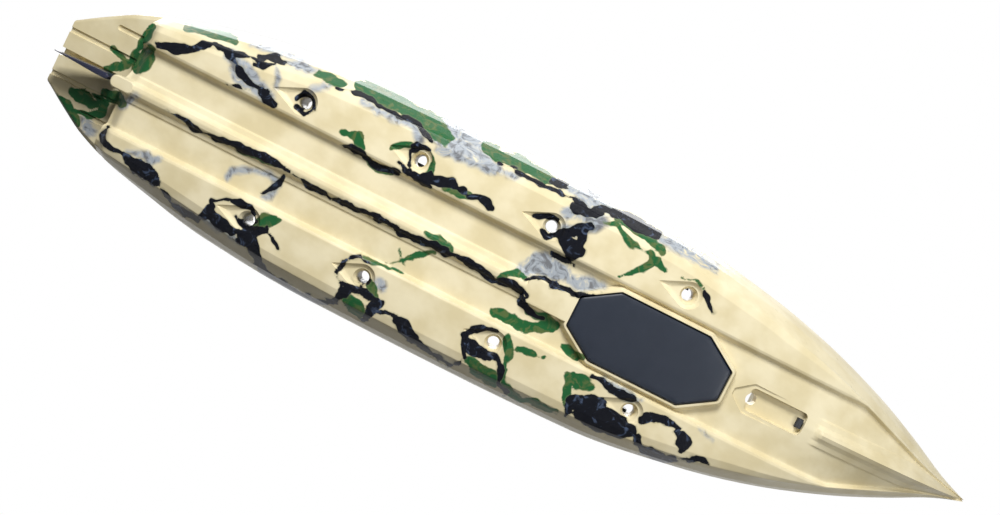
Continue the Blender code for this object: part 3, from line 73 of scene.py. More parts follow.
Pair = tuple[float, float]
Triple = tuple[float, float, float]
Thing = bpy.types.Object
Node = bpy.types.Node
Socket = bpy.types.NodeSocket
# Clearance between neighbouring solids, the two axes that pieces are set along, and the angle up to
# which a bent bar is shaded smooth, in degrees
GAP = 0.0003
ACROSS = Vector((0, 1, 0))
UP = Vector((0, 0, 1))
BAR_ANGLE = 60.0
SIDES = (("port", 1), ("starboard", -1))


def srgb(red: int, green: int, blue: int) -> Triple:
    """Linear colour of a screen colour given in 0 to 255."""
    return tuple(
        (c / 255 / 12.92) if c < 11 else ((c / 255 + 0.055) / 1.055) ** 2.4 for c in (red, green, blue))


def toned(colour: Point, share: float, more: float = 0.0) -> tuple[float, ...]:
    """A colour made darker or lighter."""
    return tuple(min(1.0, c * share + more) for c in colour)


def mix(a: float, b: float, share: float) -> float:
    """Value between a and b."""
    return a + (b - a) * share


def ease(low: float, high: float, at: float) -> float:
    """0 below low, 1 above high, and a smooth rise between them."""
    s = min(1.0, max(0.0, (at - low) / (high - low)))
    return s * s * (3 - 2 * s)


def fair(table: Sequence[Point], at: float) -> float:
    """Height of a smooth monotone curve through a table's rows, held level past its ends."""
    if at <= table[0][0]:
        return table[0][1]
    if at >= table[-1][0]:
        return table[-1][1]
    steps = [(b[1] - a[1]) / (b[0] - a[0]) for a, b in zip(table, table[1:])]
    inner = [0.0 if p * q <= 0 else 2 * p * q / (p + q) for p, q in zip(steps, steps[1:])]
    slope = [steps[0], *inner, steps[-1]]
    i = next(k for k, row in enumerate(table[1:]) if at <= row[0])
    (x0, y0), (x1, y1) = table[i], table[i + 1]
    run = x1 - x0
    s = (at - x0) / run
    ends = (1 + 2 * s) * (1 - s) ** 2 * y0 + s * s * (3 - 2 * s) * y1
    return ends + run * s * (1 - s) * ((1 - s) * slope[i] - s * slope[i + 1])


def round_angles(count: int) -> list[float]:
    """Evenly spaced angles over a full turn."""
    return [tau * k / count for k in range(count)]


def circle(centre: Point, radius: float, angles: Iterable[float]) -> list[Point]:
    """Points at one height round a vertical axis."""
    x, y, z = centre
    return [(x + radius * cos(a), y + radius * sin(a), z) for a in angles]


def corners_of(outline: Sequence[Point]) -> list[tuple[Vector, Vector, Vector]]:
    """Each corner of a closed flat outline with the outward normals of its two sides."""
    found = []
    for i, corner in enumerate(outline):
        here = Vector(corner)
        before = (here - Vector(outline[i - 1])).normalized()
        after = (Vector(outline[(i + 1) % len(outline)]) - here).normalized()
        found.append((here, Vector((before.y, -before.x)), Vector((after.y, -after.x))))
    return found


def offset(outline: Sequence[Point], distance: float) -> list[Vector]:
    """A convex anticlockwise outline, moved outwards."""
    return [here + (n1 + n2) * (distance / (1 + n1.dot(n2))) for here, n1, n2 in corners_of(outline)]


def rounded(outline: Sequence[Point], radius: float, steps: int = 6) -> list[Vector]:
    """A convex anticlockwise outline with an arc at each corner."""
    points = []
    for here, n1, n2 in corners_of(outline):
        centre = here - (n1 + n2) * (radius / (1 + n1.dot(n2)))
        turn, start = n1.angle(n2), atan2(n1.y, n1.x)
        for k in range(steps + 1):
            a = start + turn * k / steps
            points.append(centre + radius * Vector((cos(a), sin(a))))
    return points


def grown(outline: Sequence[Point], margin: float, radius: float, steps: int = 6) -> list[Vector]:
    """A convex anticlockwise outline moved outwards, with an arc at each corner."""
    return rounded(offset(outline, margin), radius, steps)


def rectangle(x0: float, x1: float, half0: float, half1: float | None = None) -> list[Point]:
    """Anticlockwise corners of a straight or tapered rectangle about the centre line."""
    half1 = half0 if half1 is None else half1
    return [(x0, -half0), (x1, -half1), (x1, half1), (x0, half0)]


def bent(points: Sequence[Point], radius: float, steps: int = 6, reach: float = 0.49) -> list[Vector]:
    """A path whose inner corners are rounded, each arc at most a share of its shorter side."""
    path = [Vector(points[0])]
    for before, here, after in zip(points, points[1:], points[2:]):
        here = Vector(here)
        into, out = Vector(before) - here, Vector(after) - here
        limit = reach * min(into.length, out.length)
        if into.length < 1e-9 or out.length < 1e-9:
            path += [here] * (steps + 1)
            continue
        run = min(radius / max(1e-6, tan(into.angle(out) / 2)), limit)
        for k in range(steps + 1):
            s = k / steps
            path.append(here + into.normalized() * run * (1 - s) ** 2 + out.normalized() * run * s ** 2)
    path.append(Vector(points[-1]))
    return path


def through(points: Sequence[Point], steps: int) -> list[Vector]:
    """A smooth path through chosen points."""
    points = [Vector(p) for p in points]
    ends = [2 * points[0] - points[1], *points, 2 * points[-1] - points[-2]]
    path = [points[0]]
    for a, b, c, d in zip(ends, ends[1:], ends[2:], ends[3:]):
        for k in range(1, steps + 1):
            s = k / steps
            path.append(
                b + 0.5 * s * ((c - a) + s * (2 * a - 5 * b + 4 * c - d + s * (3 * b - a - 3 * c + d))))
    return path


def object_from(name: str, data: bpy.types.ID) -> Thing:
    """A new object in the scene that holds a mesh, a lamp or a camera."""
    made = bpy.data.objects.new(name, data)
    bpy.context.scene.collection.objects.link(made)
    return made


def object_of(name: str, bm: bmesh.types.BMesh, outwards: bool = True) -> Thing:
    """An object from a bmesh, which is freed."""
    if outwards:
        bmesh.ops.recalc_face_normals(bm, faces=bm.faces)
    mesh = bpy.data.meshes.new(name)
    bm.to_mesh(mesh)
    bm.free()
    return object_from(name, mesh)


def baked(made: Thing) -> Thing:
    """The object with its modifiers turned into a plain mesh, in place and at the origin."""
    bpy.context.view_layer.update()
    graph = bpy.context.evaluated_depsgraph_get()
    mesh = bpy.data.meshes.new_from_object(made.evaluated_get(graph))
    mesh.transform(made.matrix_world)
    name = made.name
    bpy.data.objects.remove(made, do_unlink=True)
    return object_from(name, mesh)


def welded(made: Thing) -> Thing:
    """The same object, with points that coincide merged."""
    bm = bmesh.new()
    bm.from_mesh(made.data)
    bmesh.ops.remove_doubles(bm, verts=bm.verts, dist=0.00001)
    bm.to_mesh(made.data)
    bm.free()
    return made


def loft(name: str, rings: Sequence[Sequence[Point]]) -> Thing:
    """A closed solid through rings of equally many points, capped at both ends."""
    bm = bmesh.new()
    loops = [[bm.verts.new(point) for point in ring] for ring in rings]
    for low, high in zip(loops, loops[1:]):
        for i, vert in enumerate(low):
            bm.faces.new((low[i - 1], vert, high[i], high[i - 1]))
    bm.faces.new(loops[0][::-1])
    bm.faces.new(loops[-1])
    return object_of(name, bm)


def stack(name: str, layers: Sequence[tuple[Sequence[Point], float]]) -> Thing:
    """A solid through flat outlines, each at its own height."""
    return loft(name, [[(p[0], p[1], z) for p in outline] for outline, z in layers])


def layered(name: str, ring: Callable[[float], Sequence[Point]], rows: Iterable[Pair]) -> Thing:
    """A solid through one outline, drawn with each row's margin at each row's height."""
    return stack(name, [(ring(margin), z) for margin, z in rows])


def block(name: str, low: Point, high: Point, bevel: float = 0.0, segments: int = 3) -> Thing:
    """A block between two corners, with rounded edges."""
    bm = bmesh.new()
    bmesh.ops.create_cube(bm, size=1.0)
    size = [abs(b - a) for a, b in zip(low, high)]
    centre = [(a + b) / 2 for a, b in zip(low, high)]
    bmesh.ops.transform(bm, matrix=Matrix.Translation(centre) @ Matrix.Diagonal((*size, 1)), verts=bm.verts)
    if bevel:
        bmesh.ops.bevel(bm, geom=bm.edges, offset=min(bevel, 0.45 * min(size)), segments=segments,
                        affect="EDGES", profile=0.5)
    return object_of(name, bm)


def drum(name: str, at: Point, axis: Point, radius: float, length: float, sides: int = 32,
         radius2: float | None = None) -> Thing:
    """A cylinder or cone, centred at a point and along an axis."""
    bm = bmesh.new()
    bmesh.ops.create_cone(bm, cap_ends=True, segments=sides, radius1=radius,
                          radius2=radius if radius2 is None else radius2, depth=length)
    turn = UP.rotation_difference(Vector(axis)).to_matrix().to_4x4()
    bmesh.ops.transform(bm, matrix=Matrix.Translation(at) @ turn, verts=bm.verts)
    return object_of(name, bm)


def turned(name: str, profile: Sequence[Point], at: Point, sides: int = 48) -> Thing:
    """A profile of (radius, height), closed on itself or on the axis, spun about a vertical axis."""
    bm = bmesh.new()
    rows = []
    for radius, z in profile:
        if radius < 1e-7:
            rows.append([bm.verts.new((at[0], at[1], at[2] + z))])
            continue
        rows.append([bm.verts.new(p) for p in circle((at[0], at[1], at[2] + z), radius, round_angles(sides))])
    pairs = list(zip(rows, rows[1:])) + ([(rows[-1], rows[0])] if profile[0][0] > 1e-7 else [])
    for a, b in pairs:
        for k in range(sides):
            loop = [a[k % len(a)], a[(k + 1) % len(a)], b[(k + 1) % len(b)], b[k % len(b)]]
            loop = [v for i, v in enumerate(loop) if v not in loop[:i]]
            if len(loop) > 2:
                bm.faces.new(loop)
    return object_of(name, bm)


def swept(name: str, path: Sequence[Vector], radius: float | Callable[[float], float], sides: int = 16,
          closed: bool = False, dome: bool = False) -> Thing:
    """A round bar along a path, with a UV map that runs in metres along it and round it.

    Args:
        name: the object's name.
        path: centre points.
        radius: one radius, or a radius for each share of the length.
        sides: how many faces go round.
        closed: whether the path is a loop.
        dome: whether the ends are domed rather than flat.
    Returns:
        The new object.
    """
    size = radius if callable(radius) else lambda share: radius
    path = [Vector(p) for p in path]
    caps = (0.28, 0.6, 0.89) if dome else ()
    if dome:
        first, last = (path[0] - path[1]).normalized(), (path[-1] - path[-2]).normalized()
        reach = [size(0.0) * sqrt(1 - cap * cap) for cap in caps]
        path = [path[0] + first * r for r in reach] + path + [path[-1] + last * r for r in reversed(reach)]
    loop = path + path[:1] if closed else path
    lengths = [0.0]
    for a, b in zip(loop, loop[1:]):
        lengths.append(lengths[-1] + (b - a).length)
    bm = bmesh.new()
    uv = bm.loops.layers.uv.new("UVMap")
    rings, normal, final = [], (path[1] - path[0]).orthogonal(), len(path) - 1
    for i, here in enumerate(path):
        before = path[i - 1] if i or closed else here
        after = path[(i + 1) % len(path)] if i < final or closed else here
        along = (after - before).normalized()
        normal = (normal - along * normal.dot(along)).normalized()
        other, rim = along.cross(normal), min(i, final - i)
        wide = size(lengths[i] / lengths[-1]) * (caps[rim] if rim < len(caps) else 1.0)
        rings.append([bm.verts.new(here + wide
                                   * (cos(tau * k / sides) * normal + sin(tau * k / sides) * other))
                      for k in range(sides)])
    if closed:
        shift = min(range(sides), key=lambda k: (rings[-1][k].co - rings[0][0].co).length)
        rings.append([rings[0][(k - shift) % sides] for k in range(sides)])
    turn = tau * size(0.5) / sides
    for i, (low, high) in enumerate(zip(rings, rings[1:])):
        for k in range(sides):
            face = bm.faces.new((low[k], low[(k + 1) % sides], high[(k + 1) % sides], high[k]))
            values = ((lengths[i], k), (lengths[i], k + 1), (lengths[i + 1], k + 1), (lengths[i + 1], k))
            for corner, (u, v) in zip(face.loops, values):
                corner[uv].uv = (u, v * turn)
    if not closed:
        bm.faces.new(rings[0][::-1])
        bm.faces.new(rings[-1])
    return object_of(name, bm)


def merged(name: str, objects: Iterable[Thing]) -> Thing:
    """Objects gathered in one mesh, which replaces them."""
    bm = bmesh.new()
    for each in objects:
        bm.from_mesh(each.data)
        bpy.data.objects.remove(each, do_unlink=True)
    return object_of(name, bm, outwards=False)


def combine(target: Thing, others: Iterable[Thing], operation: str,
            overlapping: bool = False) -> Thing:
    """Cut, join or intersect a solid with others, which are dropped."""
    other = merged("tool", others)
    boolean = target.modifiers.new(operation.lower(), "BOOLEAN")
    boolean.operation, boolean.solver = operation, "EXACT"
    boolean.use_self, boolean.object = overlapping, other
    result = welded(baked(target))
    bpy.data.objects.remove(other, do_unlink=True)
    return result


def carved(target: Thing, others: Iterable[Thing]) -> Thing:
    """The solid without others, which are dropped."""
    return combine(target, others, "DIFFERENCE")


def joined(target: Thing, others: Iterable[Thing]) -> Thing:
    """The solid joined with others, which may overlap each other."""
    return combine(target, others, "UNION", overlapping=True)


def smooth(made: Thing, angle: float = 32.0) -> Thing:
    """Smooth shading with the sharp edges kept."""
    made.data.shade_smooth()
    made.data.set_sharp_from_angle(angle=radians(angle))
    return made


class NodeGraph:
    """A node tree being built, whose sockets are set by name."""

    def __init__(self, tree: bpy.types.NodeTree) -> None:
        """Starts on a tree."""
        self.tree = tree

    def add(self, kind: str, settings: dict | None = None, inputs: dict | None = None) -> Node:
        """Adds a node.

        Args:
            kind: the node's type name.
            settings: the node's own properties.
            inputs: socket name or number to a value or another node's output.
        Returns:
            The node.
        """
        node = self.tree.nodes.new(kind)
        for key, value in (settings or {}).items():
            setattr(node, key, value)
        for key, value in (inputs or {}).items():
            self.feed(node, key, value)
        return node

    def feed(self, node: Node, name: str | int, value: object) -> None:
        """Links or sets a value into a node's socket."""
        if isinstance(value, Socket):
            self.tree.links.new(value, node.inputs[name])
        else:
            node.inputs[name].default_value = value

    def place(self, kind: str = "Object") -> Socket:
        """Texture coordinates."""
        return self.add("ShaderNodeTexCoord").outputs[kind]

    def bump(self, shader: Node, height: Socket, strength: float, distance: float) -> None:
        """Lays a relief on a shader, over what it has."""
        links = shader.inputs["Normal"].links
        made = self.add(
            "ShaderNodeBump", inputs={"Strength": strength, "Distance": distance, "Height": height})
        if links:
            self.feed(made, "Normal", links[0].from_socket)
        self.feed(shader, "Normal", made.outputs[0])

    def math(self, operation: str, a: object, b: object = 0.0, c: object = 0.0) -> Socket:
        """Output of a Math node."""
        return self.add("ShaderNodeMath", {"operation": operation}, {0: a, 1: b, 2: c}).outputs[0]

    def step(self, value: object, low: float, high: float) -> Socket:
        """Smooth rise from 0 at low to 1 at high."""
        return self.add("ShaderNodeMapRange", {"interpolation_type": "SMOOTHSTEP"},
                        {"Value": value, "From Min": low, "From Max": high}).outputs[0]

    def blend(self, factor: object, a: object, b: object) -> Socket:
        """Colour between a and b."""
        a = (*a, 1.0) if isinstance(a, tuple) and len(a) == 3 else a
        b = (*b, 1.0) if isinstance(b, tuple) and len(b) == 3 else b
        return self.add("ShaderNodeMix", {"data_type": "RGBA"}, {0: factor, 6: a, 7: b}).outputs[2]

    def noise(self, vector: object, scale: float, detail: float = 4.0, roughness: float = 0.55,
              distortion: float = 0.0) -> Socket:
        """Noise from 0 to 1."""
        return self.add("ShaderNodeTexNoise", inputs={"Vector": vector, "Scale": scale, "Detail": detail,
                                                      "Roughness": roughness,
                                                      "Distortion": distortion}).outputs[0]


class StainAndReflectionColour(Enum):
    """Colours marbled into the sand plastic, which also paint reflections and a highlight on its glossy
    starboard side; the value names the mesh attribute that carries each.
    """

    NAVY = "navy_stain"
    GREEN = "green_stain"
    GREY = "grey_stain"


@dataclass(frozen=True)
class Finish:
    """A surface finish: its slot in the record and its plain numbers. Subclasses add the pattern."""

    name: str
    slot: str
    colour: Triple
    roughness: float
    metallic: float = 0.0

    def material(self) -> bpy.types.Material:
        """The finish's material, made once."""
        made = bpy.data.materials.get(self.name)
        if made is None:
            made = bpy.data.materials.new(self.name)
            made.use_nodes = True
            graph = NodeGraph(made.node_tree)
            shader = made.node_tree.nodes["Principled BSDF"]
            graph.feed(shader, "Base Color", (*self.colour, 1.0))
            graph.feed(shader, "Roughness", self.roughness)
            graph.feed(shader, "Metallic", self.metallic)
            if not self.metallic:
                graph.feed(shader, "IOR", 1.36)
            self.pattern(graph, shader)
        return made

    def pattern(self, graph: NodeGraph, shader: Node) -> None:
        """Adds the finish's own detail to its shader."""

    def dress(self, made: Thing) -> Thing:
        """Puts the finish on every face of a piece."""
        made.data.materials.clear()
        made.data.materials.append(self.material())
        return made


@dataclass(frozen=True)
class MouldedPlastic(Finish):
    """Moulded plastic with a fine grain, faint flow marks and a broken gloss."""

    grain: float = 900.0
    relief: float = 0.00012
    flecks: float = 0.12

    def pattern(self, graph: NodeGraph, shader: Node) -> None:
        """Grain in the relief and the gloss, and cloudy tone."""
        place = graph.place()
        cloud = graph.noise(place, 14.0, 5.0, 0.6)
        lighter = toned(self.colour, 1 + 2.2 * self.flecks, 0.004)
        darker = toned(self.colour, 1 - self.flecks)
        graph.feed(shader, "Base Color", graph.blend(cloud, darker, lighter))
        fine = graph.noise(place, self.grain, 2.0, 0.5)
        tone = graph.math("MULTIPLY_ADD", cloud, 0.16, self.roughness - 0.08)
        graph.feed(shader, "Roughness", tone)
        graph.bump(shader, fine, 0.35, self.relief)


@dataclass(frozen=True)
class Metal(Finish):
    """Drawn or brushed metal with fine lines and a handled, uneven gloss."""

    metallic: float = 1.0
    lines: float = 1400.0

    def pattern(self, graph: NodeGraph, shader: Node) -> None:
        """Brush lines in the relief, cloudy gloss and a little tone."""
        place = graph.place()
        squeezed = graph.add("ShaderNodeMapping",
                             inputs={"Vector": place, "Scale": (0.03, 1.0, 1.0)}).outputs[0]
        lines = graph.noise(squeezed, self.lines, 2.0, 0.6)
        cloud = graph.noise(place, 24.0, 4.0, 0.6)
        darker = toned(self.colour, 0.72)
        graph.feed(shader, "Base Color", graph.blend(cloud, darker, self.colour))
        graph.feed(shader, "Roughness", graph.math("MULTIPLY_ADD", cloud, 0.2, self.roughness - 0.1))
        graph.bump(shader, lines, 0.25, 0.00005)


@dataclass(frozen=True)
class Weave(Finish):
    """Woven cloth: crossing threads by object place, slub and a soft sheen."""

    pitch: float = 0.0022

    def pattern(self, graph: NodeGraph, shader: Node) -> None:
        """Threads in tone and relief."""
        place = graph.place()
        parts = graph.add("ShaderNodeSeparateXYZ", inputs={0: place}).outputs
        rate = tau / self.pitch
        waves = [graph.math("SINE", graph.math("MULTIPLY", parts[axis], rate)) for axis in (0, 1)]
        over = graph.math("MULTIPLY", waves[0], waves[1])
        height = graph.math("MULTIPLY_ADD", over, 0.5, 0.5)
        slub = graph.noise(place, 260.0, 3.0, 0.7)
        tone = graph.math("MULTIPLY_ADD", slub, 0.6, graph.math("MULTIPLY", height, 0.4))
        lighter = toned(self.colour, 1.9, 0.01)
        darker = toned(self.colour, 0.55)
        graph.feed(shader, "Base Color", graph.blend(tone, darker, lighter))
        graph.feed(shader, "Sheen Weight", 0.25)
        graph.feed(shader, "Sheen Roughness", 0.5)
        graph.bump(shader, height, 0.7, 0.0005)


@dataclass(frozen=True)
class Braid(Finish):
    """Braided cord sleeve that follows the cord by its UV map, with flecks of a second colour."""

    fleck: Triple = (0.2, 0.2, 0.2)
    pitch: float = 0.004

    def pattern(self, graph: NodeGraph, shader: Node) -> None:
        """Diagonal strands in tone and relief."""
        place = graph.place("UV")
        parts = graph.add("ShaderNodeSeparateXYZ", inputs={0: place}).outputs
        rate = tau / self.pitch
        sums = [graph.math(op, parts[0], parts[1]) for op in ("ADD", "SUBTRACT")]
        waves = [graph.math("SINE", graph.math("MULTIPLY", each, rate)) for each in sums]
        height = graph.math("MAXIMUM", waves[0], waves[1])
        flecks = graph.step(waves[0], 0.55, 0.75)
        graph.feed(shader, "Base Color", graph.blend(flecks, self.colour, self.fleck))
        graph.bump(shader, height, 0.8, 0.0004)


@dataclass(frozen=True)
class MarbledPlasticWithReflections(Finish):
    """Rotomoulded plastic marbled in navy, green and grey-blue, by three fields that the mesh carries, which
    also hold painted reflections and a painted highlight on the starboard side.
    """

    navy: Triple = srgb(16, 18, 25)
    slate: Triple = srgb(70, 82, 104)
    green: Triple = srgb(36, 92, 52)
    grey: Triple = srgb(150, 162, 178)
    olive: Triple = srgb(86, 104, 62)
    halo: Triple = srgb(116, 118, 92)

    def pattern(self, graph: NodeGraph, shader: Node) -> None:
        """Stains and painted reflections with frayed edges over a cloudy sand colour, and an even orange-peel
        gloss.
        """
        place = graph.place()
        broad = graph.noise(place, 7.0, 3.0, 0.5)
        rough = graph.noise(place, 90.0, 7.0, 0.68, 0.8)
        flow = graph.noise(place, 13.0, 2.0, 0.4, 0.6)
        calm = graph.step(graph.noise(place, 5.0, 2.0, 0.5), 0.46, 0.70)
        reach = graph.math("MULTIPLY_ADD", calm, 0.020, 0.0015)
        fray = graph.math("MULTIPLY", graph.math("SUBTRACT", rough, 0.5), reach)
        fray = graph.math("ADD", fray, graph.math("MULTIPLY_ADD", flow, 0.040, -0.0185))
        fields = {}
        for name in StainAndReflectionColour:
            value = graph.add("ShaderNodeAttribute", {"attribute_name": name.value}).outputs["Fac"]
            fields[name] = graph.math("ADD", value, fray)
        pale = toned(self.colour, 1.05)
        deep = tuple(c * f for c, f in zip(self.colour, (0.90, 0.87, 0.78)))
        base = graph.blend(graph.step(broad, 0.32, 0.68), deep, pale)
        veins = graph.noise(place, 20.0, 4.0, 0.55, 1.4)
        # Grey-blue marbling, and on the starboard side a painted highlight, from the grey field
        grey_mask = graph.math(
            "MULTIPLY", graph.step(fields[StainAndReflectionColour.GREY], -0.012, 0.012), graph.step(veins, 0.24, 0.50))
        base = graph.blend(graph.math("MULTIPLY", grey_mask, 0.85), base,
                           graph.blend(graph.step(veins, 0.5, 0.66), self.grey, self.slate))
        # Green marbling, and on the starboard side a painted reflection of dark surroundings
        green_tone = graph.blend(graph.step(veins, 0.46, 0.62), self.green, self.olive)
        base = graph.blend(graph.step(fields[StainAndReflectionColour.GREEN], -0.003, 0.003), base, green_tone)
        halo = graph.math("MULTIPLY", graph.step(fields[StainAndReflectionColour.NAVY], -0.007, 0.001), 0.45)
        base = graph.blend(halo, base, self.halo)
        # Navy marbling, and on the starboard side a painted reflection of dark surroundings
        navy_tone = graph.blend(graph.step(veins, 0.56, 0.70), self.navy, self.slate)
        base = graph.blend(graph.step(fields[StainAndReflectionColour.NAVY], -0.001, 0.001), base, navy_tone)
        graph.feed(shader, "Base Color", base)
        graph.feed(shader, "IOR", 1.18)
        gloss = graph.math("MULTIPLY_ADD", graph.noise(place, 30.0, 5.0, 0.6), 0.16, self.roughness - 0.08)
        graph.feed(shader, "Roughness", gloss)
        graph.bump(shader, graph.noise(place, 18.0, 2.0, 0.5), 0.3, 0.004)
        graph.bump(shader, graph.noise(place, 320.0, 2.0, 0.5), 0.25, 0.0002)


SAND = MarbledPlasticWithReflections("sand_marble", "hull_plastic", srgb(229, 218, 184), 0.30)
BLACK = MouldedPlastic("black_moulding", "black_plastic", srgb(30, 32, 36), 0.42)
SLATE = MouldedPlastic("slate_moulding", "black_plastic", srgb(27, 34, 46), 0.40, flecks=0.08)
GRIP = MouldedPlastic("black_grip_rubber", "rubber", srgb(24, 24, 25), 0.75, grain=420.0, relief=0.0004)
NAVY = MouldedPlastic("navy_blade_moulding", "blade_plastic", srgb(24, 28, 52), 0.32)
STEEL = Metal("satin_stainless", "stainless", (0.62, 0.62, 0.60), 0.30)
ALLOY = Metal("dark_anodised_tube", "dark_alloy", (0.085, 0.088, 0.095), 0.38)
CLOTH = Weave("charcoal_seat_cloth", "seat_fabric", srgb(62, 66, 68), 0.88)
THREAD = Finish("pale_thread", "seat_fabric", srgb(150, 152, 150), 0.7)
CORD = Braid("braided_bungee", "cord", (0.018, 0.018, 0.020), 0.7, fleck=srgb(150, 152, 140))


# Stains of the marbling: width, then x, y, x, y on the ground under the boat, in millimetres. Strokes near y
# = -0.4 m lie on the starboard side above the chine, where they are partly marbling and partly a painted
# reflection of dark surroundings and a painted highlight
NAVY_STAINS_AND_REFLECTIONS = (
    (37, -1113, 304, -1037, 308), (46, 70, -249, 133, -305), (29, 47, -344, 142, -351),
    (33, -1161, -200, -1105, -187), (37, -579, 360, -565, 320, -542, 300),
    (37, -449, 370, -442, 317, -429, 293), (33, -54, 296, 23, 299), (24, 630, 251, 658, 224, 707, 208),
    (42, 687, 348, 752, 344, 813, 318), (29, -359, 17, -253, 13), (42, -1585, -189, -1459, -236),
    (24, -1475, -236, -1400, -285), (20, -1399, -282, -1227, -302),
    (24, -1349, -282, -1298, -263, -1253, -228, -1207, -210, -1152, -217),
    (16, -1242, -282, -1199, -296, -1166, -320), (12, -1290, -177, -1199, -193),
    (29, -1230, -317, -1185, -335, -1131, -342), (16, -1040, -240, -1021, -270, -982, -265, -966, -232),
    (16, -1028, -217, -987, -200, -967, -235), (12, -918, -345, -852, -362, -795, -362),
    (20, -800, -356, -620, -359, -566, -349, -522, -326),
    (20, -563, -211, -576, -254, -553, -290, -513, -294), (16, -547, -195, -501, -185, -477, -221),
    (16, -598, -198, -547, -178, -446, -175), (37, -491, -198, -335, -218),
    (12, -304, -205, -274, -228, -246, -222, -218, -199), (16, -821, -164, -775, -171, -723, -168),
    (16, -712, -161, -651, -155, -580, -162), (16, -261, -366, 52, -367),
    (20, 52, -367, 104, -360, 160, -364), (16, -70, -248, 22, -278), (16, -19, -212, 21, -199, 54, -232),
    (63, 64, -229, 136, -207, 133, -181), (33, 131, -275, 143, -227), (16, 61, -153, 150, -156),
    (12, 624, -279, 657, -246, 692, -227), (12, -1477, 15, -1383, 14, -1315, 25, -1218, 22),
    (24, -1218, 22, -1087, 1, -1037, 1, -981, 15, -938, 9), (20, -925, 11, -766, 31),
    (16, -751, 27, -541, 17, -425, 33), (24, -546, 15, -415, 28, -293, 8), (20, -289, 7, -59, 28),
    (33, -66, 23, -21, 13, 48, 28), (24, 22, 24, 47, 57, 88, 74, 131, 77),
    (12, 18, -24, 48, -47, 236, -67, 294, -100), (12, -950, 28, -958, 69, -975, 103, -1004, 129),
    (20, -1622, 170, -1626, 205, -1603, 227, -1570, 235, -1535, 230), (29, -1529, 227, -1487, 235),
    (55, -1494, 238, -1395, 255, -1369, 275),
    (16, -1372, 268, -1344, 291, -1294, 308, -1225, 323, -1165, 318),
    (37, -1168, 320, -1146, 288, -1143, 253),
    (16, -1156, 243, -1111, 208, -1059, 194, -1016, 197, -990, 217), (16, -1046, 246, -1000, 264, -976, 236),
    (16, -1146, 254, -1116, 281, -1027, 294, -995, 291), (33, -1007, 301, -967, 281, -935, 252),
    (42, -997, 321, -956, 312, -901, 364), (24, -904, 357, -866, 384, -830, 391),
    (20, -838, 391, -709, 401, -635, 397, -590, 379, -575, 342),
    (12, -923, 234, -922, 254, -894, 261, -862, 282),
    (16, -584, 350, -582, 312, -612, 277, -621, 223, -608, 200, -570, 177, -535, 180),
    (16, -560, 263, -517, 275, -499, 236), (29, -593, 297, -465, 286, -439, 290),
    (16, -421, 327, -376, 316, -338, 318), (50, -338, 326, -268, 350), (20, -268, 358, -183, 378),
    (16, -186, 380, -102, 383, -70, 363, -60, 333, -77, 299),
    (20, -79, 296, -90, 256, -80, 226, -44, 207, 7, 194), (29, -74, 272, 46, 287),
    (20, -4, 287, 53, 292, 83, 319, 106, 366, 144, 384), (80, 388, 298, 484, 275), (80, 421, 332, 587, 315),
    (55, 492, 275, 616, 305), (33, 370, 312, 375, 355), (20, 395, 182, 503, 198, 583, 191),
    (24, 646, 315, 652, 336, 701, 350, 807, 321), (29, 643, 228, 731, 204, 775, 211),
    # The last three strokes, from (42, -59, -398, ...) on, lie on the starboard side above the chine: partly
    # navy marbling, partly a painted reflection of dark surroundings
    (42, 771, 226, 809, 244, 823, 287), (12, 808, 324, 896, 284, 932, 282), (42, -59, -398, -6, -400),
    (50, 203, -394, 369, -391), (16, 126, -384, 205, -390),
)
GREEN_STAINS_AND_REFLECTIONS = (
    (24, -1640, -236, -1636, -176, -1654, -85), (63, -1599, -158, -1615, -72), (33, -1648, -97, -1715, -22),
    (24, -1730, -97, -1679, -93), (59, -1853, 157, -1736, 194), (63, -1795, 112, -1752, 99, -1716, 114),
    (24, -1753, 79, -1702, 82, -1671, 95, -1670, 132, -1707, 159, -1755, 162), (42, -1683, 52, -1604, 62),
    (37, -814, -209, -778, -211, -745, -186), (24, -507, -289, -481, -261, -481, -211, -507, -182),
    (20, -647, -239, -617, -262, -578, -274), (37, -395, -188, -311, -210),
    (20, -702, -158, -639, -148, -600, -152), (24, 179, -344, 233, -351, 340, -318, 388, -313),
    (29, 223, -371, 348, -368, 419, -341), (24, 385, -320, 403, -292, 393, -262, 321, -193),
    (20, 398, -302, 458, -290), (16, 528, -289, 571, -302, 613, -286), (20, -1203, 18, -1107, 11, -998, 15),
    (29, -389, -10, -349, -13, -273, -2), (29, -69, 8, -61, -17, -28, -34, 12, -29),
    (20, -482, 153, -442, 133, -375, 67, -329, 35), (16, -450, 83, -429, 126, -405, 140),
    (20, -500, 167, -445, 160, -384, 166), (46, -39, 142, 72, 132, 186, 95), (37, 77, 76, 144, 71, 201, 84),
    (37, 239, 135, 329, 140), (42, -971, 237, -915, 192), (29, -947, 246, -890, 184),
    (37, -505, 240, -451, 275), (50, -559, 333, -477, 363), (24, -555, 173, -483, 166),
    (37, -50, 344, -9, 336), (55, -10, 349, 94, 367),
    (24, 69, 234, 87, 262, 81, 299, 103, 342, 143, 372, 199, 386, 344, 359), (42, 56, 199, 77, 242),
    (16, 105, 215, 158, 205, 205, 207), (29, 304, 215, 331, 252, 368, 342), (55, 329, 215, 411, 228),
    # The last five strokes lie on the starboard side above the chine: partly green marbling, partly a painted
    # reflection of dark surroundings
    (76, -844, -395, -613, -395), (76, -618, -389, -474, -363), (59, -324, -393, -67, -398),
    (33, -1514, -298, -1340, -332), (37, -1009, -362, -900, -367),
)
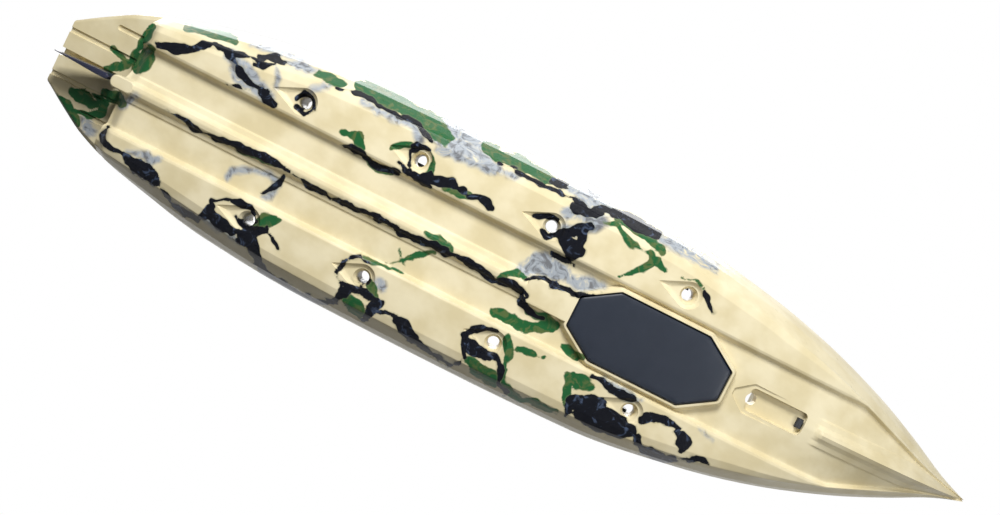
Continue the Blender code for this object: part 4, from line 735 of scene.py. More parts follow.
GREY_STAINS_AND_REFLECTIONS = (
    (72, -1325, -282, -1240, -226, -1139, -199), (24, -1159, -315, -1130, -289, -1127, -250),
    (24, -998, -289, -945, -349), (33, -815, -336, -663, -346, -599, -341, -555, -310),
    (55, -541, -349, -312, -353, -248, -340), (33, -487, -307, -324, -327, -264, -324),
    (24, -248, -340, -185, -347), (55, 40, -308, 75, -337, 185, -347), (50, 62, -265, 106, -275, 175, -343),
    (80, -5, -54, 30, -100, 124, -110), (46, 144, -103, 216, -107, 285, -133),
    (24, -1140, 131, -1131, 98, -1048, 64, -1001, 58, -965, 64, -965, 114, -994, 141),
    (29, -1520, 210, -1474, 195, -1417, 208, -1401, 191), (29, -1150, 314, -1060, 311, -1004, 324),
    # The five strokes from (63, -508, -415, ...) to (24, -1126, -348, ...) lie on the starboard side above
    # the chine: partly grey-blue marbling, partly painted reflection; the two aft of x = -1.0 m paint the
    # highlight along that side
    (29, 430, 185, 599, 191), (20, 835, 181, 901, 197), (63, -508, -415, -334, -396),
    (63, -1, -406, 193, -397), (46, 379, -387, 623, -378), (29, -1281, -345, -1086, -385),
    (24, -1126, -348, -1004, -368), (46, -1712, 182, -1666, 209), (37, -1582, 22, -1599, 72),
    (37, -465, 220, -436, 246),
)


@dataclass
class MarblingAndReflections:
    """The stains moulded into the hull and the painted reflections on its starboard side, both painted along
    the lines of sight that meet its underside.
    """

    eye: Triple = (-0.105, -0.275, -4.194)
    warp: float = 0.0035
    far: float = 0.05
    thin: float = 0.6
    tip: float = 0.06

    # Size, rate per metre and phase of the waves that bend the strokes
    WAVES = ((1.0, 31.0, 0.3), (0.7, 67.0, 1.9), (0.45, 131.0, 4.1))

    def paint(self, made: Thing) -> None:
        """Writes a field per colour on the vertices: metres inside (above 0) or outside its stains and
        painted reflections.
        """
        count = len(made.data.vertices)
        places = np.empty(count * 3, dtype=np.float64)
        made.data.vertices.foreach_get("co", places)
        places = places.reshape(-1, 3)
        eye = np.array(self.eye)
        share = eye[2] / (eye[2] - places[:, 2])
        ground = (eye + share[:, None] * (places - eye))[:, :2]
        x, y = ground[:, 0].copy(), ground[:, 1].copy()
        for size, rate, turn in self.WAVES:
            shift_x = np.sin(rate * y + turn + 1.7 * np.sin(0.43 * rate * x))
            shift_y = np.sin(rate * x + 2.2 * turn + 1.3 * np.sin(0.51 * rate * y))
            x, y = x + self.warp * size * shift_x, y + self.warp * size * shift_y
        for colour, rows in zip(StainAndReflectionColour, (NAVY_STAINS_AND_REFLECTIONS, GREEN_STAINS_AND_REFLECTIONS, GREY_STAINS_AND_REFLECTIONS)):
            field = np.full(count, -self.far)
            for width, *flat in rows:
                path = np.array(flat).reshape(-1, 2) / 1000
                lengths = np.hypot(*np.diff(path, axis=0).T)
                done, total = 0.0, lengths.sum()
                for (ax, ay), (bx, by), length in zip(path, path[1:], lengths):
                    along = np.clip(((x - ax) * (bx - ax) + (y - ay) * (by - ay)) / length ** 2, 0.0, 1.0)
                    away = np.hypot(x - mix(ax, bx, along), y - mix(ay, by, along))
                    place = (done + along * length) / total
                    swell = np.sin(np.pi * np.clip(place, self.tip, 1 - self.tip))
                    half = width / 2000 * (self.thin + (1 - self.thin) * swell)
                    np.maximum(field, half - away, out=field)
                    done += length
            layer = made.data.attributes.new(colour.value, "FLOAT", "POINT")
            layer.data.foreach_set("value", field.astype(np.float32))


@dataclass
class Hull:
    """The rotomoulded hull: form, wells, drains, recesses and what stands on its skin."""

    length: float = 3.955
    beam: float = 0.917
    side_height: float = 0.300
    bow_height: float = 0.365
    deck_rise: float = 0.022
    bow_crown: float = 0.036
    wall: float = 0.005
    keel_half: float = 0.026
    flange_half: float = 0.050
    step_half: float = 0.166
    channel_depth: float = 0.034
    fore_channel_depth: float = 0.024
    chine_rise: float = 0.030
    fore_keel_x: float = 1.234
    block_x: float = 0.030
    block_half: float = 0.050
    stern_step: float = 0.3225
    step_ramp: float = 0.055
    lobe_height: float = 0.150
    lobe_rise: float = 0.030
    nose_length: float = 0.037
    slot_half: float = 0.016
    slot_height: float = 0.215
    groove_width: float = 0.020
    groove_depth: float = 0.008
    groove_y: Pair = (0.090, 0.181)
    scupper_x: tuple[float, ...] = (-1.009, -0.531, 0.015, 0.582)
    scupper_y: float = 0.243
    scupper_mouth: float = 0.0385
    scupper_neck: float = 0.025
    scupper_bore: float = 0.0215
    scupper_flare: float = 0.032
    tear_width: float = 0.100
    tear_length: float = 0.127
    tear_depth: float = 0.014
    cockpit_x: Pair = (-0.110, 1.030)
    cockpit_half: float = 0.285
    cockpit_front_half: float = 0.190
    cockpit_taper: float = 0.170
    cockpit_floor: float = 0.105
    seat_bay_x: Pair = (-0.745, -0.080)
    seat_bay_half: float = 0.290
    seat_bay_floor: float = 0.165
    tank_x: Pair = (-1.450, -0.830)
    tank_half: Pair = (0.238, 0.285)
    tank_floor: float = 0.200
    well_fillet: float = 0.018
    well_corner: float = 0.060
    well_rim: float = 0.010
    insert_x: Pair = (0.228, 0.853)
    insert_half: float = 0.142
    insert_end_half: float = 0.059
    insert_chamfer: float = 0.130
    insert_fit: float = 0.003
    pocket_x: Pair = (0.896, 1.223)
    pocket_shoulder: float = 0.957
    pocket_half: float = 0.059
    pocket_ledge: float = 0.005
    pocket_inner_x: Pair = (0.986, 1.190)
    pocket_inner_half: float = 0.046
    pocket_top: float = 0.058
    pocket_drain_x: float = 0.971
    pocket_drain: float = 0.024
    hatch_x: Pair = (1.120, 1.450)
    hatch_half: Pair = (0.150, 0.105)
    hatch_corner: float = 0.045
    coaming_width: float = 0.022
    coaming_top: float = 0.392
    knuckle: float = 0.008
    hinge_offset: float = 0.050
    latch_at: Pair = (1.080, 0.080)
    latch_base: float = 0.401
    round_hatch: Pair = (0.060, 0.056)
    rudder_axis: float = 0.2625
    bush: float = 0.0117
    bow_handle_x: Pair = (1.700, 1.830)
    rod_holder: tuple[float, float, float, float] = (-0.780, 0.348, 20.0, 0.025)
    small_holes: tuple[Triple, ...] = (
        (-1.560, -0.120, 0.0123), (-1.545, 0.050, 0.0036), (-0.035, 0.372, 0.0036))

    GUNWALE = (
        (-1.0, 0.300), (-0.946, 0.451), (-0.89, 0.589), (-0.774, 0.759), (-0.592, 0.920), (-0.354, 0.991),
        (-0.025, 1.0), (0.217, 0.981), (0.45, 0.848), (0.602, 0.700), (0.754, 0.485), (0.855, 0.299),
        (0.951, 0.098), (1.0, 0.014),
    )
    CHINE = (
        (-0.837, 0.571), (-0.718, 0.637), (-0.597, 0.702), (-0.453, 0.781), (-0.1, 0.818), (0.192, 0.807),
        (0.425, 0.700), (0.551, 0.587), (0.678, 0.425), (0.809, 0.244), (0.91, 0.105), (1.0, 0.008),
    )
    KEEL_LINE = (
        (0.5, 0.0), (0.62, 0.03), (0.72, 0.12), (0.81, 0.27), (0.90, 0.50), (0.96, 0.74), (1.0, 0.93))
    FORE_CHINE = ((0.4, 0.0), (0.55, 0.04), (0.68, 0.12), (0.81, 0.19), (0.91, 0.18), (1.0, -0.06))

    def __post_init__(self) -> None:
        """Sizes that follow from the others."""
        self.half_length = self.length / 2
        self.half_beam = self.beam / 2
        self.deck = self.side_height + self.deck_rise
        self.step_x = self.stern_step - self.half_length
        self.rudder_x = self.rudder_axis - self.half_length
        self.fine = 0.028

    def beam_at(self, x: float) -> float:
        """Half the beam at the gunwale."""
        return self.half_beam * fair(self.GUNWALE, x / self.half_length)

    def chine_at(self, x: float) -> float:
        """Half the width at the chine."""
        return self.half_beam * fair(self.CHINE, x / self.half_length)

    def keel_at(self, x: float) -> float:
        """Height of the keel line."""
        return self.bow_height * fair(self.KEEL_LINE, x / self.half_length)

    def side_at(self, x: float) -> float:
        """Height of the gunwale."""
        rise = ease(0.36, 1.25, x / self.half_length) / ease(0.36, 1.25, 1.0)
        return mix(self.side_height, self.bow_height, rise)

    def crown_at(self, x: float) -> float:
        """Rise of the deck's middle over its edge, which only the bow has."""
        share = x / self.half_length
        return self.bow_crown * ease(0.50, 0.62, share) * (1 - ease(0.62, 1.02, share))

    def side_points(self, x: float, chine: float, chine_z: float) -> list[Point]:
        """From above the chine, over the gunwale, to the middle of the deck."""
        beam, height = self.beam_at(x), self.side_at(x)
        fit = min(1.0, beam / 0.05)
        deck = height + self.deck_rise * fit
        points = [(mix(chine, beam, out), mix(chine_z, height, up))
                  for up, out in ((0.22, 0.42), (0.5, 0.72), (0.78, 0.91))]
        points += [(beam, height), (beam - 0.006 * fit, height + 0.6 * self.deck_rise * fit)]
        edge = beam - 0.022 * fit
        return points + [(edge * s, deck + self.crown_at(x) * (1 - s * s)) for s in (1.0, 0.7, 0.35, 0.0)]

    def levels(self, x: float) -> tuple[float, ...]:
        """Chine, base, channel depth, rise of the forward chine, ramp and the share left in the fine bow."""
        chine = self.chine_at(x)
        fore = ease(self.insert_x[1] - 0.25, self.insert_x[1] + 0.05, x)
        fit = min(1.0, chine / 0.085)
        return (chine, self.keel_at(x), mix(self.channel_depth, self.fore_channel_depth, fore) * fit,
                self.bow_height * fair(self.FORE_CHINE, x / self.half_length),
                0.034 * ease(-self.step_x - self.step_ramp, -self.step_x, -x), fit)

    def section(self, x: float) -> list[Point]:
        """Half a section ahead of the step, from the keel's middle to the deck's middle."""
        chine, base, depth, rise, ramp, fit = self.levels(x)
        ridge = 1.0 - ease(self.insert_x[0] - 0.02, self.insert_x[0] + 0.02, x) + ease(
            self.fore_keel_x, self.fore_keel_x + 0.03, x)
        keel, flange = self.keel_half * fit, self.flange_half * fit
        step = min(self.step_half, chine - 0.016 * fit)
        pad = chine - step
        top, floor, low = base + depth * (1 - ridge), base + depth + ramp, base + ramp
        points = [
            (0.0, top), (0.55 * keel, top + 0.003 * ridge * fit), (0.92 * keel, top + 0.011 * ridge * fit),
            (keel + 0.005 * fit, mix(floor, top, 0.35 * ridge)), (flange, floor - 0.006 * ridge * fit),
            (flange + 0.006 * fit, floor), (mix(flange, step, 0.5), floor), (step - 0.006 * fit, floor),
            (step + min(0.006, 0.2 * pad), low + 0.004 * fit), (step + min(0.016, 0.4 * pad), low),
            (mix(step, chine, 0.5), low), (chine - min(0.045, 0.35 * pad), low),
            (chine - min(0.014, 0.12 * pad), low + 0.3 * self.chine_rise * fit),
        ]
        points = [(y, z + rise * y / chine) for y, z in points]
        chine_z = base + self.chine_rise * fit + rise + ramp
        return points + [(chine, chine_z)] + self.side_points(x, chine, chine_z)

    def lobe_base(self, x: float) -> float:
        """Height of the stern lobes' underside."""
        return self.lobe_height + self.lobe_rise * (self.step_x - x) / self.stern_step

    def lobe_section(self, x: float) -> list[Point]:
        """Half a section of the stern behind the step, with as many points as the hull's."""
        chine, base = 0.95 * self.beam_at(x), self.lobe_base(x)
        shares = (0.0, 0.06, 0.12, 0.2, 0.28, 0.36, 0.44, 0.52, 0.6, 0.68, 0.76, 0.86, 0.94)
        points = [(chine * share, base) for share in shares]
        return points + [(chine, base + 0.012)] + self.side_points(x, chine, base + 0.012)

    def ring(self, x: float, half: Sequence[Point], soften: float = 0.0) -> list[Point]:
        """A whole ring from half a section, from the keel up to port and down, its corners softened."""
        path = bent(half, soften, 3) if soften else half
        return [(x, p[0], p[1]) for p in path] + [(x, -p[0], p[1]) for p in path[-2:0:-1]]

    def stations(self, low: float, high: float, step: float, extra: Iterable[float] = ()) -> list[float]:
        """Evenly spaced places with others among them."""
        count = max(1, round((high - low) / step))
        even = [low + (high - low) * i / count for i in range(count + 1)]
        fixed = sorted({x for x in extra if low < x < high} | {low, high})
        return sorted([x for x in even if all(abs(x - f) > step / 4 for f in fixed)] + fixed)

    def hull_stations(self, step: float) -> list[float]:
        """Places of the sections ahead of the step."""
        fore, half = self.insert_x[0], self.half_length
        ramp = [self.step_x + self.step_ramp * k / 5 for k in range(1, 6)]
        near = [fore - 0.02 + 0.01 * k for k in range(5)] + [self.fore_keel_x + 0.01 * k for k in range(4)]
        tip = [share * half for share in (0.70, 0.82, 0.88, 0.925, 0.955, 0.978, 0.992)]
        return self.stations(self.step_x, half, step, [*ramp, *near, *tip])

    def outer(self) -> Thing:
        """The lofted form."""
        aft = self.stations(-self.half_length, self.step_x - 0.012, self.fine, (-self.half_length + 0.02,))
        rings = [self.ring(x, self.lobe_section(x), 0.010) for x in aft]
        rings += [self.ring(x, self.section(x), 0.007) for x in self.hull_stations(self.fine)]
        return loft("hull_form", rings)

    def hollow_section(self, x: float) -> list[Point]:
        """Half a section of the hollow inside."""
        (chine, base, depth, rise, ramp, fit), wall = self.levels(x), self.wall
        step = min(self.step_half, chine - 0.05 * fit)
        pad = ease(0.05, 0.075, chine - self.step_half)
        floor = base + depth + ramp + 1.2 * wall
        low = mix(floor, base + ramp + 1.2 * wall, pad)
        chine_z = base + self.chine_rise * fit + rise + ramp
        inset = chine - 1.5 * wall
        beam, height = self.beam_at(x), self.side_at(x)
        deck = height + self.deck_rise * min(1.0, beam / 0.05) - 1.1 * wall
        points = [(0.0, floor), (step - 0.012 * fit, floor), (min(step + 0.026, inset - 0.03 * fit), low),
                  (inset - 0.016 * fit, low + 0.003)]
        points = [(y, z + rise * y / chine) for y, z in points]
        return points + [
            (inset, chine_z + wall), (mix(chine, beam, 0.72) - 1.2 * wall, mix(chine_z, height, 0.5)),
            (beam - 1.2 * wall, height - wall), (beam - 0.028 * fit, deck), (0.0, deck + self.crown_at(x)),
        ]

    def hollow(self) -> Thing:
        """The hollow of the bow compartment and the middle, before the wells' walls are taken from it."""
        places = [x for x in self.hull_stations(0.15) if self.step_x + 0.02 < x < 0.93 * self.half_length]
        return loft("hollow", [self.ring(x, self.hollow_section(x)) for x in places])

    def well(self, name: str, outline: Sequence[Point], floor: float, margin: float) -> Thing:
        """A moulded well, open at the deck: filleted at its floor, flared at its rim."""
        def corner(more: float) -> list[Vector]:
            """The outline with its corners rounded."""
            return grown(outline, margin + more, max(0.004, self.well_corner + margin + more), 8)

        floor -= margin
        fillet, rim, deck = self.well_fillet, self.well_rim, self.deck
        arc = [(corner(-fillet * (1 - sin(a))), floor + fillet * (1 - cos(a)))
               for a in [pi / 2 * k / 5 for k in range(6)]]
        flare = [(corner(rim * (1 - cos(a))), deck - rim + rim * sin(a) + margin)
                 for a in [pi / 2 * k / 4 for k in range(5)]]
        return stack(name, [*arc, *flare, (corner(rim), deck + 0.08)])

    def cockpit_outline(self) -> list[Point]:
        """Plan of the cockpit."""
        (x0, x1), half, front = self.cockpit_x, self.cockpit_half, self.cockpit_front_half
        bend = x1 - self.cockpit_taper
        return [(x0, -half), (bend, -half), (x1, -front), (x1, front), (bend, half), (x0, half)]

    def octagon(self, margin: float = 0.0) -> list[Vector]:
        """Plan of the drive well insert, with a margin round it."""
        (x0, x1), cut = self.insert_x, self.insert_chamfer
        end, half = self.insert_end_half, self.insert_half
        return offset([(x0, -end), (x0 + cut, -half), (x1 - cut, -half), (x1, -end),
                       (x1, end), (x1 - cut, half), (x0 + cut, half), (x0, end)], margin)

    def hatch_outline(self, margin: float) -> list[Vector]:
        """Plan of the bow hatch, with a margin round it."""
        return grown(rectangle(*self.hatch_x, *self.hatch_half), margin, self.hatch_corner + margin, 10)

    def scupper(self, x: float, side: int, floor: float, margin: float) -> Thing:
        """A turned drain, its lips rounded, from under the pad to above the floor that it drains."""
        bore, neck = self.scupper_bore + margin, self.scupper_neck + margin
        mouth, lip = self.scupper_mouth + margin, 0.004
        profile = [(0.0, -0.03), (mouth + lip + 0.03, -0.03), (mouth + lip, 0.0), (mouth + 0.3 * lip, 0.0012),
                   (mouth, 0.005),
                   (neck + 0.001, self.scupper_flare - 0.002), (neck - 0.0006, self.scupper_flare + 0.003)]
        profile += [(bore, floor - lip), (bore + 0.3 * lip, floor - 0.0012), (bore + lip, floor),
                    (bore + lip, floor + 0.03), (0.0, floor + 0.03)]
        return turned("scupper", profile, (x, side * self.scupper_y, 0.0), 40)

    def teardrop(self, x: float, side: int, margin: float = 0.0) -> Thing:
        """The sloped recess that runs aft from a scupper's mouth to a point."""
        bm = bmesh.new()
        wide, deep, long = self.tear_width / 2 + margin, self.tear_depth + margin, self.tear_length + margin
        levels = ((wide + 0.030, -0.030, long + 0.030), (wide + 0.003, -0.003, long),
                  (wide - 0.003, 0.003, long - 0.006),
                  (0.80 * wide, deep - 0.001, 0.62 * long), (0.74 * wide, deep, 0.5 * long))
        for radius, z, reach in levels:
            for point in circle((0.0, 0.0, z), radius, round_angles(32)):
                bm.verts.new(point)
            bm.verts.new((-reach, 0.0, z))
        hull = bmesh.ops.convex_hull(bm, input=bm.verts)
        inside = {v for v in hull["geom_interior"] + hull["geom_unused"] if isinstance(v, bmesh.types.BMVert)}
        bmesh.ops.delete(bm, geom=list(inside), context="VERTS")
        bmesh.ops.translate(bm, verts=bm.verts, vec=(x, side * self.scupper_y, 0.0))
        return object_of("teardrop", bm)

    def groove(self, side: int, y: float) -> Thing:
        """A long round-ended groove in the underside of a stern lobe."""
        fore = self.step_x - 0.030
        long = self.stern_step - 0.045
        aft = -self.half_length - 0.02 if y == self.groove_y[0] else fore - 0.45 * long
        half, centre = self.groove_width / 2, side * y
        corners = [(aft, centre - half), (fore, centre - half), (fore, centre + half), (aft, centre + half)]
        lips = ((0.012, -0.012), (0.0015, -0.0005), (0.0, 0.0012), (-0.001, 0.6 * self.groove_depth),
                (-0.004, self.groove_depth))
        return loft("groove", [[(p[0], p[1], self.lobe_base(p[0]) + up) for p in
                                grown(corners, more, 0.9 * (half + more), 5)] for more, up in lips])

    def deep_wells(self, margin: float) -> list[Thing]:
        """Wells that don't touch each other: cockpit, tank well and rudder slot."""
        slot = grown(rectangle(-self.half_length - 0.04, self.step_x - 0.012, self.slot_half), margin,
                     0.012 + margin, 5)
        return [
            self.well("cockpit", self.cockpit_outline(), self.cockpit_floor, margin),
            self.well("tank_well", rectangle(*self.tank_x, *self.tank_half), self.tank_floor, margin),
            stack("rudder_slot", [(slot, self.lobe_height - 0.03), (slot, self.slot_height + margin)]),
        ]

    def crossing_wells(self, margin: float) -> list[Thing]:
        """Wells that run into the first ones: seat bay, drive well, pocket ledge and rudder trunk."""
        (x0, x1), half, shoulder = self.pocket_x, self.pocket_half, self.pocket_shoulder
        ledge = [(x0, -0.012), (shoulder, -half), (x1, -half), (x1, half), (shoulder, half), (x0, 0.012)]
        base = self.fore_channel_depth + self.keel_at(sum(self.pocket_x) / 2)
        soft = [(grown(ledge, margin + more, 0.008 + margin + max(0.0, more), 5), z) for more, z in
                ((0.02, -0.03), (0.0035, base - 0.004), (0.0008, base + 0.0005),
                 (0.0, base + self.pocket_ledge + margin))]
        drive = rounded(self.octagon(self.insert_fit + margin), 0.012 + margin, 6)
        return [
            self.well(
                "seat_bay", rectangle(*self.seat_bay_x, self.seat_bay_half), self.seat_bay_floor, margin),
            stack("drive_well", [(drive, -0.05), (drive, self.cockpit_floor + 0.05)]),
            stack("pocket_ledge", soft),
            drum("rudder_trunk", (self.rudder_x, 0, self.deck - 0.05), UP, self.bush + GAP + margin, 0.26),
        ]

    def scuppers(self, margin: float) -> list[Thing]:
        """All eight drains."""
        floors = (self.tank_floor, self.seat_bay_floor, self.cockpit_floor, self.cockpit_floor)
        return [self.scupper(x, side, floor, margin) for _, side in SIDES
                for x, floor in zip(self.scupper_x, floors)]

    def pocket(self, margin: float) -> list[Thing]:
        """The transducer pocket and its drain, which open into the cockpit."""
        inner = rectangle(self.pocket_inner_x[0] - 0.03, self.pocket_inner_x[1], self.pocket_inner_half)
        outline = grown(inner, margin, 0.018 + margin, 6)
        top = grown(inner, margin - 0.004, 0.014 + margin, 6)
        chamber = stack("pocket",
                        [(outline, -0.03), (outline, self.pocket_top + margin - 0.006),
                         (top, self.pocket_top + margin)])
        drain = drum("pocket_drain", (self.pocket_drain_x, 0, self.cockpit_floor), UP,
                     self.pocket_drain + margin, 0.16,
                     radius2=0.75 * self.pocket_drain + margin, sides=40)
        return [chamber, drain]

    def additions(self) -> list[Thing]:
        """What stands on the lofted form: land, keel block and nose, coaming, hinge ledge and bosses."""
        def sloped(name: str, outline: Sequence[Point], radius: float, spread: float) -> Thing:
            """A land with a rounded lip that slopes out to the channel's floor."""
            levels = ((-0.003, 0.0), (-0.0009, 0.0009), (0.0, 0.003),
                      (spread * 0.55, self.channel_depth * 0.66), (spread, self.channel_depth + 0.004))
            return stack(name, [(grown(outline, more, radius + max(0.0, more), 6), z) for more, z in levels])

        nose = rounded(rectangle(self.step_x - self.nose_length, self.step_x + 0.06, self.keel_half),
                       0.9 * self.keel_half, 10)
        rim = self.coaming_width
        coaming = ((rim, self.deck), (rim, self.coaming_top - 0.002), (rim - 0.002, self.coaming_top))
        base = self.bow_height + self.deck_rise
        made = [
            sloped("land", self.octagon(0.012), 0.02, 0.016),
            sloped("keel_block", rectangle(self.block_x, self.insert_x[0] + 0.05, self.block_half), 0.014,
                   0.006),
            stack("keel_nose",
                  [(offset(nose, -0.006), 0.0), (offset(nose, -0.002), 0.003), (nose, 0.009),
                   (nose, self.lobe_height + 0.02)]),
            layered("coaming", self.hatch_outline, coaming),
            block("hinge_ledge", (self.hatch_x[1], -0.05, self.deck),
                  (self.hatch_x[1] + self.hinge_offset + 0.03, 0.05, self.coaming_top - self.knuckle)),
            block("handle_boss", (self.bow_handle_x[0] - 0.014, -0.014, base - 0.042),
                  (self.bow_handle_x[1] + 0.014, 0.014, base + 0.006), 0.003),
        ]
        for _, side in SIDES:
            at = (self.latch_at[0], side * self.latch_at[1], mix(self.deck, self.latch_base, 0.5))
            made.append(drum("latch_boss", at, UP, 0.009, self.latch_base - self.deck))
        return made

    def skin_holes(self) -> list[Thing]:
        """Holes through one wall."""
        x, bore = self.round_hatch
        made = [
            layered("hatch_hole", self.hatch_outline,
                    ((0.0, self.side_height - 0.02), (0.0, self.coaming_top + 0.02))),
            drum("round_hole", (x, 0, self.cockpit_floor), UP, bore + 0.004 + GAP, 0.03, 64),
        ]
        made += [drum("hole", (x, y, self.deck), UP, radius, 0.02) for x, y, radius in self.small_holes]
        holder_x, holder_y, lean, radius = self.rod_holder
        for _, side in SIDES:
            axis = (-sin(radians(lean)), 0, cos(radians(lean)))
            made.append(
                drum("rod_hole", (holder_x, side * holder_y, self.deck), axis, radius + GAP, 0.04, 40))
            made.append(drum("stem_hole", (self.latch_at[0], side * self.latch_at[1], self.latch_base), UP,
                             0.0043, 0.04))
        return made

    def refine(self, made: Thing) -> Thing:
        """Splits long edges of the skin, so that it can carry the marbling and the painted reflections."""
        limit = 0.0085
        bm = bmesh.new()
        bm.from_mesh(made.data)
        for _ in range(6):
            long = [e for e in bm.edges if e.calc_length() > limit * 1.35
                    and (e.verts[0].normal.z < 0.45 or e.verts[1].normal.z < 0.45)
                    and max(v.co.z for v in e.verts) < 0.33 and self.outside(e)]
            if not long:
                break
            bmesh.ops.subdivide_edges(bm, edges=long, cuts=1, use_grid_fill=False)
            bmesh.ops.triangulate(bm, faces=[f for f in bm.faces if len(f.verts) > 4])
        bm.to_mesh(made.data)
        bm.free()
        return made

    def outside(self, edge: bmesh.types.BMEdge) -> bool:
        """Whether an edge lies on the outer skin, where the underside shows."""
        place = (edge.verts[0].co + edge.verts[1].co) / 2
        x = min(max(place.x, -0.999 * self.half_length), 0.999 * self.half_length)
        near_side = abs(place.y) > self.beam_at(x) - 0.045 - 0.25 * max(0.0, 0.3 - place.z)
        return near_side or place.z < max(self.keel_at(x), self.lobe_base(x) * (x < self.step_x)) + 0.062

    def teardrops(self, margin: float = 0.0) -> list[Thing]:
        """The recess of every scupper."""
        return [self.teardrop(x, side, margin) for _, side in SIDES for x in self.scupper_x]

    def emptied(self, made: Thing, margin: float, others: Sequence[Thing] = ()) -> Thing:
        """A solid without the wells, drains and pocket, each grown by a margin, and without others."""
        groups = [self.deep_wells(margin) + [*others], self.crossing_wells(margin), self.scuppers(margin)]
        for group in groups + [[each] for each in self.pocket(margin)]:
            made = carved(made, group)
        return made

    def build(self) -> Thing:
        """Builds the hull, marbles it with painted reflections on its starboard side, and dresses it."""
        hollow = carved(self.emptied(self.hollow(), self.wall), self.teardrops(self.wall))
        made = joined(self.outer(), self.additions())
        made = carved(made, [hollow])
        grooves = [self.groove(side, y) for _, side in SIDES for y in self.groove_y]
        made = self.emptied(made, 0.0, grooves + self.teardrops())
        made = carved(made, self.skin_holes())
        made = self.refine(made)
        made.name = "hull_skin"
        # Marbling, with a painted reflection of dark surroundings and a painted highlight on the starboard
        # side
        MarblingAndReflections().paint(made)
        SAND.dress(smooth(made, 30))
        LOG.info("hull: %d faces", len(made.data.polygons))
        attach(made, "boat")
        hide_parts("hull")
        return made


class Repeat:
    """One shape set on many points by Geometry Nodes, then turned into a plain mesh."""

    SEED = 7
    ANGLE = 40.0

    def __init__(self, pattern: Thing, finish: Finish) -> None:
        """Keeps the shape that is repeated and the finish that it gets."""
        self.pattern = pattern
        self.finish = finish

    def group(self) -> bpy.types.NodeTree:
        """The node group, made once: points in, copies of the pattern out."""
        found = bpy.data.node_groups.get("repeat_on_points")
        if found:
            return found
        tree = bpy.data.node_groups.new("repeat_on_points", "GeometryNodeTree")
        face = tree.interface
        for title, kind in (("Points", "Geometry"), ("Pattern", "Object"), ("Finish", "Material"),
                            ("Turn spread", "Float")):
            face.new_socket(title, in_out="INPUT", socket_type=f"NodeSocket{kind}")
        face.new_socket("Copies", in_out="OUTPUT", socket_type="NodeSocketGeometry")
        graph = NodeGraph(tree)
        entry = graph.add("NodeGroupInput").outputs
        shape = graph.add("GeometryNodeObjectInfo", inputs={"Object": entry["Pattern"]}).outputs["Geometry"]
        turn = graph.add("FunctionNodeRandomValue", {"data_type": "FLOAT"},
                         {2: 0.0, 3: entry["Turn spread"], "Seed": self.SEED})
        angles = graph.add("ShaderNodeCombineXYZ", inputs={2: turn.outputs[1]}).outputs[0]
        copies = graph.add("GeometryNodeInstanceOnPoints",
                           inputs={"Points": entry["Points"], "Instance": shape,
                                                                   "Rotation": angles}).outputs[0]
        real = graph.add("GeometryNodeRealizeInstances", inputs={0: copies}).outputs[0]
        dressed = graph.add("GeometryNodeSetMaterial", inputs={"Geometry": real, "Material": entry["Finish"]})
        graph.add("NodeGroupOutput", inputs={0: dressed.outputs[0]})
        return tree

    def on(self, name: str, points: Iterable[Point], spread: float = tau) -> Thing:
        """Copies of the pattern at points, each turned about its own axis by up to the spread."""
        mesh = bpy.data.meshes.new(name)
        mesh.from_pydata([tuple(p) for p in points], [], [])
        made = object_from(name, mesh)
        modifier = made.modifiers.new("repeat", "NODES")
        modifier.node_group = self.group()
        values = {"Pattern": self.pattern, "Finish": self.finish.material(), "Turn spread": spread}
        for item in modifier.node_group.interface.items_tree:
            if item.in_out == "INPUT" and item.name in values:
                modifier[item.identifier] = values[item.name]
        made = baked(made)
        bpy.data.objects.remove(self.pattern, do_unlink=True)
        self.finish.dress(made)
        return smooth(made, self.ANGLE)


def screw_head(radius: float = 0.0035, height: float = 0.0016) -> Thing:
    """A domed screw head with a cross recess, standing on the origin."""
    head = turned("screw",
                  [(0.0, -0.001), (radius, -0.001), (radius, 0.25 * height), (0.8 * radius, 0.75 * height),
                            (0.45 * radius, height), (0.0, height)], (0, 0, 0), 16)
    long, wide = 0.62 * radius, 0.14 * radius
    slots = [block("slot", (-long, -wide, 0.3 * height), (long, wide, 2 * height)),
             block("slot", (-wide, -long, 0.3 * height), (wide, long, 2 * height))]
    return combine(head, slots, "DIFFERENCE", overlapping=True)


